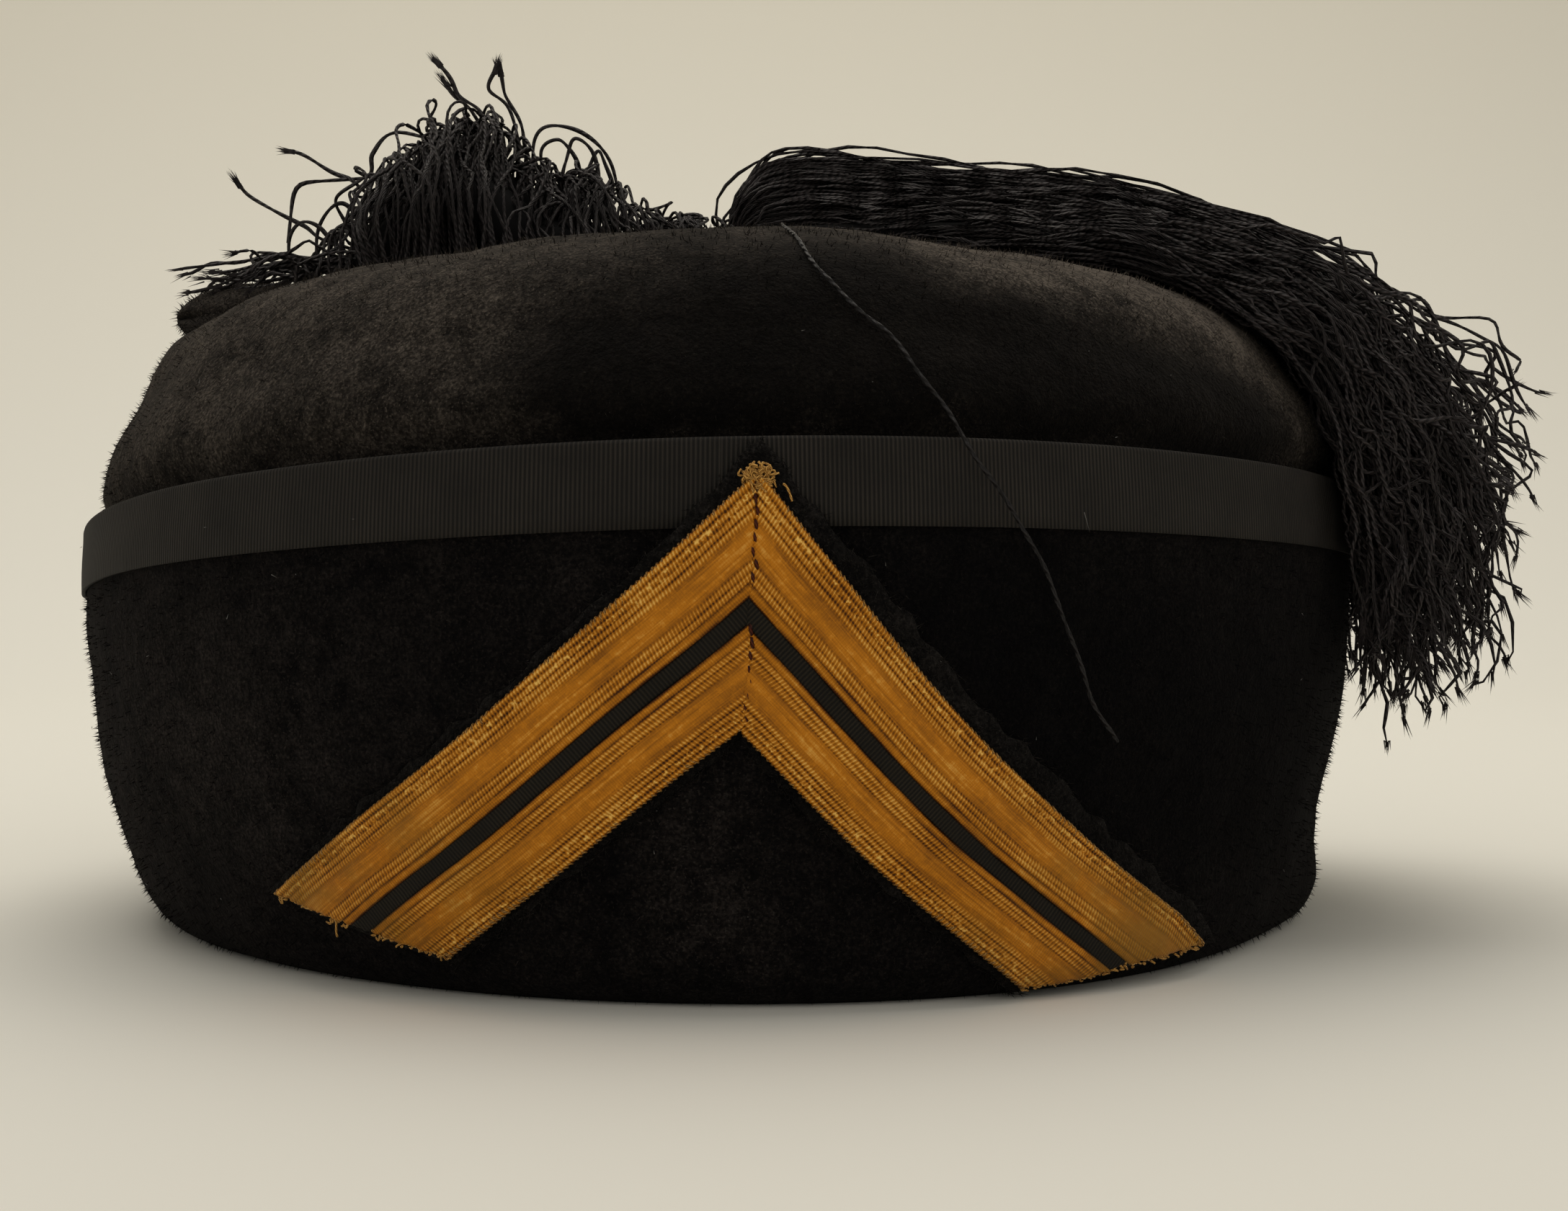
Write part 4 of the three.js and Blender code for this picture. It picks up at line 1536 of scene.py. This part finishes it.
# Threads that stand clear of the heap: knots (x, y, z) about the crown's axis
STRAYS = (
    ((-40, -4, 130), (-42, -2, 138), (-46, 0, 142), (-49.6, 0, 147)),
    ((-39, 2, 130), (-43, 1, 138.5), (-47, 1, 141.5), (-48.5, 1, 143.5)),
    ((-35, 0, 131), (-37, 0, 139), (-40.6, 0, 142.5), (-39.4, 0, 146.2)),
    ((-34, 2, 131), (-36, 1, 139), (-37.6, 1, 142.5), (-39.2, 1, 146.0)),
    ((-52, 0, 122), (-61, -2, 123), (-66, -2, 127.5), (-74.8, -2, 130.4)),
    ((-60, 2, 112), (-67, 0, 115.5), (-76, 0, 119.5), (-84.6, -1, 125.6)),
    ((-48, 0, 133), (-57, 0, 134.8), (-60.5, -2, 131), (-62, -2, 126.5), (-73, -3, 125), (-75, -3, 115)),
    ((-33, 0, 126), (-32.5, 0, 133.5), (-29.5, 0, 136), (-24, 0, 134.5), (-19, 1, 129), (-17, 2, 120)),
    ((-31, 3, 125), (-31.5, 2, 131.5), (-28, 2, 134), (-25.5, 2, 130), (-25, 2, 125)),
    ((-28, -2, 124), (-27, -2, 131), (-25, -2, 133.5), (-22, -2, 130.5), (-22, -2, 124)),
    ((-24, 2, 122), (-23.5, 2, 128.5), (-21.5, 2, 132), (-19.5, 1, 127), (-19, 0, 122)),
    ((-70, -5, 108), (-69, -5, 118), (-65, -5, 121.5), (-60, -4, 117)),
    ((-73, -6, 107), (-74, -6, 115), (-69, -6, 117.5), (-64, -5, 112)),
    ((-64, -4, 116), (-66, -5, 122.5), (-61, -4, 127), (-57, -3, 122)),
)


@dataclass
class Tassel:
    """The thread tassel: a head on the crown, a heap of loops to the left and a long fall to the right."""

    fall_strands: int = 820
    heap_strands: int = 380
    tail_strands: int = 46
    thread: float = 0.34  # half the thickness of a strand, mm
    tuft: int = 9  # hairs at the end of a strand

    def build(self, rng: np.random.Generator) -> None:
        """Makes the core, the strands and their frayed tips.

        Args:
            rng: the source of chance.
        """
        dark, light = (0.0012, 0.0010, 0.0012), (0.050, 0.0405, 0.041)
        finish = ThreadFinish("fringe_silk", dark, light, 1.3, 0.62).material()
        self.core()
        fall = self.fall(rng)
        under = self.threads("tassel_fall", fall[::2], finish)
        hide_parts("tassel")
        self.threads("tassel_fall_over", fall[1::2], finish)
        heap, tail = self.heap(rng), self.tail(rng)
        strays = self.strays(rng)
        self.threads("tassel_heap", heap, finish)
        self.threads("tassel_tail", tail, finish)
        self.threads("tassel_strays", strays, finish, 1.2)
        self.tips([fall, heap[::3], tail, *[strays[:6]] * 4], finish, rng)

    @staticmethod
    def along(knots: np.ndarray, samples: np.ndarray) -> np.ndarray:
        """Smooth paths through knots, shape (strands, knots, 3), in the row frame."""
        return np.einsum("sk,nkc->nsc", spline_weights(knots.shape[1], samples), knots) + AXIS

    @staticmethod
    def knots(rows: list[tuple]) -> np.ndarray:
        """Turns all strands' first knots, second knots and so on into knots by strand."""
        return np.stack([stacked(*row) for row in rows], axis=1)

    @staticmethod
    def crest(fan: np.ndarray) -> np.ndarray:
        """How high the fall stands over the crown where a strand lies that far back."""
        return 22.5 * (1 - (fan / 68) ** 2)

    @staticmethod
    def fall_knots(fan: np.ndarray, lift: np.ndarray, high: np.ndarray, slack: float = 0.0) -> np.ndarray:
        """The knots of long strands, about the crown's axis.

        Args:
            fan: how far back each lies.
            lift: its height over the crown.
            high: 0 where its tip hangs low, 1 where it ends high and points outwards.
            slack: how far inside the others it hangs.

        Returns:
            Knots, shape (strands, 9, 3).
        """
        wall = np.sqrt(110.0**2 - (fan / DEPTH_RATIO) ** 2)
        tip_x = wall + 2.5 + lift * (0.82 + 0.62 * high) - slack
        tip_z = 44 + 51 * high
        edge_x, edge_z = wall * 0.86 + lift * 0.6 - slack, 94 + lift * 0.78  # at the shoulder
        fall = (edge_z - tip_z) / 80
        rows = [
            (HEAD[0], fan * 0.06, HEAD[2] - 1),
            (4.5, fan * 0.1, 107 + lift * 0.86),
            (14.0, fan * 0.22, 107.5 + lift * 1.08),
            (wall * 0.4, fan * 0.5, 106.5 + lift * 0.99),
            (wall * 0.66, fan * 0.8, 103.5 + lift * 0.96),
            (edge_x, fan * 0.97, edge_z),
            (blend(edge_x, tip_x, 0.4) + 7 * fall, fan * 1.03, blend(edge_z, tip_z, 0.4) + 5 * fall),
            (blend(edge_x, tip_x, 0.75) + 5.5 * fall, fan * 1.06, blend(edge_z, tip_z, 0.75) + 3 * fall),
            (tip_x, fan * 1.08, tip_z),
        ]
        return Tassel.knots(rows)

    def fall(self, rng: np.random.Generator) -> np.ndarray:
        """The long strands, which fan out and fall over the right shoulder.

        Args:
            rng: the source of chance.

        Returns:
            Paths, shape (strands, steps, 3).
        """
        n = self.fall_strands
        fan = 46 * np.sin(rng.uniform(-1, 1, n) * math.pi / 2) - 3 + rng.normal(0, 4.5, n)
        share = rng.random(n) ** 1.2
        lift = 1.6 + (self.crest(fan) - 1.6) * share
        high = 0.2 * rng.random(n) + 0.9 * share**1.5 * rng.random(n) ** 1.1
        knots = self.fall_knots(fan, lift, high)
        wander = np.where(rng.random(n) < 0.06, 2.6, 1.0)[:, None, None]
        knots[:, 1:4] += rng.normal(0, 0.75, (n, 3, 3)) * wander
        knots[:, 4:8] += rng.normal(0, 1.3, (n, 4, 3)) * wander
        knots[:, 5:] += rng.normal(0, 1.7, (n, 1, 3)) * [1, 1.6, 0.5]
        knots[:, 8] += rng.normal(0, 2.4, (n, 3)) * [1, 1.3, 1.6] + [1.0, 0, 0]
        longer = (rng.random(n) < 0.14) * rng.uniform(4, 16, n)
        knots[:, 7, 2] -= longer * 0.5
        knots[:, 8, 2] -= longer
        samples = np.concatenate([np.linspace(0, 5, 22, endpoint=False), np.linspace(5, 8, 32)])
        return self.settle(self.along(knots, samples), rng, 1.6, 1.35, 0.42)

    def heap(self, rng: np.random.Generator) -> np.ndarray:
        """The loops that heap up left of the head: each climbs in front and comes down behind.

        Args:
            rng: the source of chance.

        Returns:
            Paths, shape (strands, steps, 3).
        """
        n = self.heap_strands
        clump = rng.choice([-45, -54, -28, -20, -7], n, p=[0.34, 0.2, 0.18, 0.12, 0.16])
        across = np.clip(clump + rng.normal(0, 1, n) * 5.2, -69, 3)
        ridge = np.interp(across, HEAP_RIDGE[:, 0], HEAP_RIDGE[:, 1])
        z = 106 + (ridge - 107.5) * (1 - 0.45 * rng.random(n) ** 2.2)
        y = rng.normal(0, 3.6, n)
        middle = -40 + (across + 40) * (1.1 + 0.12 * rng.normal(0, 1, n))
        foot = middle + rng.normal(0, 3.2, n)
        back = middle + rng.normal(0, 4.0, n)
        room = 5 + (z - 107) * 0.42
        front_y, back_y = y - room * rng.uniform(0.6, 1.25, n), y + room * rng.uniform(0.6, 1.5, n)
        low = 106.0 + rng.normal(0, 1.2, n)
        knots = self.knots([
            (foot, front_y, low),
            (blend(foot, across, 0.35), y * 0.2 + front_y * 0.95, blend(low, z, 0.45)),
            (blend(foot, across, 0.9), blend(front_y, y, 0.6), blend(low, z, 0.9)),
            (across, y, z),
            (blend(back, across, 0.8), blend(back_y, y, 0.5), blend(low, z, 0.86)),
            (back, back_y, low),
        ])
        knots[:, 1:5] += rng.normal(0, 1.0, (n, 4, 3)) * [1.5, 1, 0.5]
        return self.settle(self.along(knots, np.linspace(0, 5, 34)), rng, 1.6, 0.7, 0.0)

    def tail(self, rng: np.random.Generator) -> np.ndarray:
        """The strands that run out to the left over the fold.

        Args:
            rng: the source of chance.

        Returns:
            Paths, shape (strands, steps, 3).
        """
        n = self.tail_strands
        reach = rng.uniform(-93, -68, n)
        y = rng.normal(-3, 5.0, n)
        rise = rng.random(n) * 4.2
        knots = self.knots([
            (-46.0, y * 0.6, 110.0),
            (-58.0, y * 0.8, 108 + rise),
            ((-66 + reach) / 2, y, 107 + rise * 1.3),
            (reach, y * 1.4, 103.8 + rise * 1.5 + rng.normal(0, 1.0, n)),
        ])
        return self.settle(self.along(knots, np.linspace(0, 3, 30)), rng, 1.5, 1.1, 0.0)

    def strays(self, rng: np.random.Generator) -> np.ndarray:
        """The threads that stand clear of the heap.

        Args:
            rng: the source of chance.

        Returns:
            Paths, shape (strands, steps, 3).
        """
        paths = []
        for knots in STRAYS:
            samples = np.linspace(0, len(knots) - 1, 40)
            paths.append(self.along(np.array([knots], float), samples)[0])
        return self.settle(np.array(paths), rng, 0.3, 0.35, 0.0)

    def settle(
        self, paths: np.ndarray, rng: np.random.Generator, sway: float, crimp: float, start: float
    ) -> np.ndarray:
        """Gives strands their waves and lays them on the hat.

        Args:
            paths: shape (strands, steps, 3), in the row frame.
            rng: the source of chance.
            sway: size of the waves that neighbours share, mm.
            crimp: size of a strand's own waves, mm.
            start: the share of its length after which its own waves grow.

        Returns:
            The paths as they lie.
        """
        n, steps, _ = paths.shape
        near = paths + rng.normal(0, 1.6, (n, 1, 3))
        shared = np.stack([value_noise(near, 17, 40 + k) for k in range(3)], axis=-1)
        apart = paths + rng.normal(0, 7.0, (n, 1, 3))
        closer = np.stack([value_noise(apart, 9.0, 50 + k) for k in range(3)], axis=-1)
        length = run(paths)[..., None]
        t = length / length[:, -1:]
        free = smoothstep(t, 0.0, 0.25)
        wave = rng.uniform(9, 17, (n, 1, 3))
        phase = rng.uniform(0, 2 * math.pi, (n, 1, 3))
        own = np.sin(length / wave * 2 * math.pi + phase) * rng.normal(0, 0.8, (n, 1, 3))
        size = 0.14 + crimp * smoothstep(t, start, start + 0.45)
        paths = paths + (shared + 0.4 * closer) * sway * free + own * size * free
        lie = np.repeat(rng.uniform(0.4, 4.0, n), steps)
        flat = Form.push_out(paths.reshape(-1, 3), lie).reshape(n, steps, 3)
        flat[..., 2] = np.maximum(flat[..., 2], 4)
        return flat

    def threads(
        self, name: str, paths: np.ndarray, finish: bpy.types.Material, weight: float = 1.0
    ) -> bpy.types.Object:
        """Makes the strands of a part of the tassel.

        Args:
            name: the piece's name.
            paths: shape (strands, steps, 3).
            finish: their material.
            weight: their thickness over the usual one.

        Returns:
            The object.
        """
        t = np.linspace(0, 1, paths.shape[1])
        radii = self.thread * weight * (1 - 0.4 * smoothstep(t, 0.95, 1))
        return Meshes.tubes(name, paths, radii, 4, finish, Slot.FRINGE, flat=0.8, twist=0.03)

    def tips(self, groups: list[np.ndarray], finish: bpy.types.Material, rng: np.random.Generator) -> None:
        """Makes the frayed tufts at the strands' ends.

        Args:
            groups: paths of the strands that end in one.
            finish: the strands' material.
            rng: the source of chance.
        """
        last = np.concatenate([paths[:, -1] for paths in groups])
        before = np.concatenate([paths[:, -3] for paths in groups])
        end = np.repeat(last, self.tuft, axis=0)
        way = np.repeat(unit(last - before), self.tuft, axis=0)
        spread = unit(way + rng.normal(0, 0.17, way.shape)) * rng.uniform(0.8, 3.0, (len(way), 1))
        aside = rng.normal(0, 0.2, way.shape)
        root, tip, uv = end - way * 0.9 + aside, end + spread + aside, np.zeros((len(way) * 4, 2))
        Meshes.spikes("tassel_tips", root, tip, 0.15, finish, Slot.FRINGE, uv=uv)

    def core(self) -> None:
        """Fills the middle of the tassel, so that no light shows through it; its flat near-black is painted
        shade for the threads inside.
        """
        # painted shade: a flat near-black for the shaded threads inside the tassel
        finish = PlainFinish("fringe_depth", (0.0022, 0.0019, 0.0022), 0.95).material()
        steps = 40
        fan = np.arange(-44.0, 37, 10)
        knots = self.fall_knots(fan, 0.46 * self.crest(fan), np.full(len(fan), 0.36), slack=3.5)
        under_fall = self.along(knots, np.linspace(0, 8, steps))
        rows = [(-6, 102), (-20, 111), (-32, 115), (-44, 123), (-55, 117), (-70, 102)]
        knots = np.array([[(x, y, z - 0.06 * y * y) for x, z in rows] for y in (-8, 0, 8)], float)
        in_heap = self.along(knots, np.linspace(0, 5, steps))
        paths = np.concatenate([under_fall, in_heap])
        swell = np.sin(math.pi * (np.linspace(0, 1, steps) * 0.96 + 0.02)) ** 0.6
        thick = np.array([3.6] * len(under_fall) + [6.5] * len(in_heap))
        radii = 0.6 + thick[:, None] * swell
        paths = Form.push_out(paths.reshape(-1, 3), radii.ravel() * 0.8 + 0.2).reshape(paths.shape)
        Meshes.tubes("tassel_core", paths, radii, 8, finish, Slot.FRINGE)


# The loose thread down the front: (azimuth in degrees, radius, height)
LOOSE_THREAD = (
    (6.9, 72.0, 105.2),
    (7.2, 84.0, 101.3),
    (7.9, 92.6, 95.9),
    (9.2, 95.8, 92.2),
    (11.0, 98.4, 88.2),
    (12.9, 100.5, 84.5),
    (14.6, 103.5, 78.7),
    (16.1, 104.8, 74.1),
    (17.4, 107.9, 68.0),
    (19.2, 108.2, 63.8),
    (20.9, 108.5, 59.6),
    (22.5, 108.5, 55.4),
    (23.9, 108.4, 50.6),
    (25.5, 108.1, 44.9),
    (26.7, 107.6, 40.4),
    (27.9, 107.2, 36.6),
    (30.0, 106.7, 32.4),
)


@dataclass
class LooseBits:
    """The loose thread down the front, a few thread ends and specks of lint."""

    specks: int = 40

    def build(self, rng: np.random.Generator) -> None:
        """Makes the loose bits.

        Args:
            rng: the source of chance.
        """
        dark, light = (0.0035, 0.003, 0.0035), (0.019, 0.0165, 0.0165)
        finish = ThreadFinish("loose_thread", dark, light, 1.4).material()
        degrees, radius, z = smooth_profile(np.array(LOOSE_THREAD), 8).T
        azimuth = np.radians(degrees) + 0.0012 * np.sin(np.linspace(0, 46, len(degrees)))
        path = Form.soften(radius + 1.2, azimuth, z)
        Meshes.tubes("loose_thread", path[None], 0.33, 6, finish, Slot.FRINGE, flat=0.8, twist=0.1)
        self.lint(rng)

    def lint(self, rng: np.random.Generator) -> None:
        """Makes pale specks on the felt, and one fibre on the ribbon at the right.

        Args:
            rng: the source of chance.
        """
        finish = PlainFinish("lint", (0.16, 0.155, 0.15)).material()
        azimuth = rng.uniform(-1.2, 1.3, self.specks)
        z = rng.uniform(8, 100, self.specks)
        root = Form.soften(np.interp(z, HULL[:, 0], HULL[:, 1]) + 0.4, azimuth, z)
        tip = root + 0.7 * rng.normal(0, 0.5, (self.specks, 3))
        fibre = Form.on_cuff(np.array([48.6, 49.4]), np.array([66.0, 63.2]), np.array([0.2, 0.3]))
        root, tip = np.concatenate([root, fibre[:1]]), np.concatenate([tip, fibre[1:]])
        Meshes.spikes("lint", root, tip, 0.07, finish, Slot.PLUSH)


@dataclass
class Studio:
    """A pale sweep of paper under soft light, in metres."""

    half_width: float = 5.0
    near_end: float = -5.0
    floor_end: float = 0.2
    bend_start: float = 0.55
    bend_radius: float = 0.5
    top: float = 3.0
    daylight: float = 0.455

    def build(self) -> None:
        """Makes the floor with its backdrop, and the lights."""
        t = np.linspace(0, math.pi / 2, 24)
        back = self.bend_start + self.bend_radius
        bend = self.bend_start + self.bend_radius * np.sin(t)
        y = np.concatenate([[self.near_end, self.floor_end], bend, [back]])
        z = np.concatenate([[0, 0], self.bend_radius * (1 - np.cos(t)), [self.top]])
        x = np.array([-self.half_width, self.half_width])
        faces = Meshes.grid_faces(len(y), 2, close_columns=False)
        points = stacked(x, y[:, None], z[:, None]).reshape(-1, 3)
        sweep = put("paper_sweep", Meshes.mesh("paper_sweep", points, faces, self.paper()))
        world = bpy.data.worlds.new("studio")
        world.use_nodes = True
        colour, strength = world.node_tree.nodes["Background"].inputs[:2]
        colour.default_value, strength.default_value = (1.0, 0.965, 0.89, 1), self.daylight
        bpy.context.scene.world = world
        self.light("overhead", (-0.06, 0.30, 1.25), 1.35, 10.3)
        self.light("front", (0.5, -1.1, 0.8), 1.0, 1.2)

    @staticmethod
    def paper() -> bpy.types.Material:
        """The sweep's material, darker and a little warmer towards its top, as painted shade on the upright
        backdrop.

        Returns:
            The material.
        """
        s = Shader("paper")
        height = s.node("SeparateXYZ", {0: s.node("TexCoord").outputs["Object"]}).outputs[2]
        # painted shade: one paper, painted darker up the backdrop
        s.colour(height, (0.0, (0.80, 0.785, 0.725)), (0.7, (0.69, 0.652, 0.556)))
        s.set(Roughness=0.95, Specular_IOR_Level=0.1)
        return s.material

    @staticmethod
    def light(name: str, place: tuple[float, float, float], size: float, watts: float) -> None:
        """Adds a square soft light that faces the hat.

        Args:
            name: its name.
            place: where it stands.
            size: its side.
            watts: its power.
        """
        data = bpy.data.lights.new(name, "AREA")
        data.size = size
        data.energy = watts
        data.color = (1.0, 0.95, 0.87)
        lamp = put(name, data)
        lamp.location = place
        lamp.rotation_mode = "QUATERNION"
        lamp.rotation_quaternion = (Vector((-0.02, 0, 0.05)) - Vector(place)).to_track_quat("-Z", "Y")


@dataclass(frozen=True)
class PhotoCamera:
    """The camera where the photograph was taken from: close in front, a little above the table."""

    distance: float = 376.6  # from the crown's axis, mm
    eye: float = 59.1  # height over the table, mm
    lens: float = 48.85  # focal length in mm, for a frame 36 mm wide
    turn_right: float = 1.70  # degrees
    tilt_down: float = 1.12  # degrees

    def build(self) -> None:
        """Makes the camera and the view's colour settings."""
        data = bpy.data.cameras.new("photo_camera")
        data.lens = self.lens
        data.sensor_width = 36.0
        data.clip_start, data.clip_end = 0.01, 20
        camera = put("photo_camera", data)
        camera.location = (AXIS[0] * MM, (AXIS[1] - self.distance) * MM, self.eye * MM)
        turn, tilt = math.radians(self.turn_right), math.radians(self.tilt_down)
        look = Vector((math.sin(turn) * math.cos(tilt), math.cos(turn) * math.cos(tilt), -math.sin(tilt)))
        camera.rotation_mode = "QUATERNION"
        camera.rotation_quaternion = look.to_track_quat("-Z", "Y")
        bpy.context.scene.camera = camera
        bpy.context.scene.view_settings.view_transform = "Standard"


def main() -> None:
    """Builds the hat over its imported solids, with its studio and camera."""
    logging.basicConfig(level=logging.INFO, format="%(message)s")
    rng = np.random.default_rng(427)
    PhotoCamera().build()
    Studio().build()
    Crown().build(rng)
    Cuff().build(rng)
    RibbonBinding().build()
    Chevron().build(rng)
    Tassel().build(rng)
    LooseBits().build(rng)


if __name__ == "__main__":
    main()
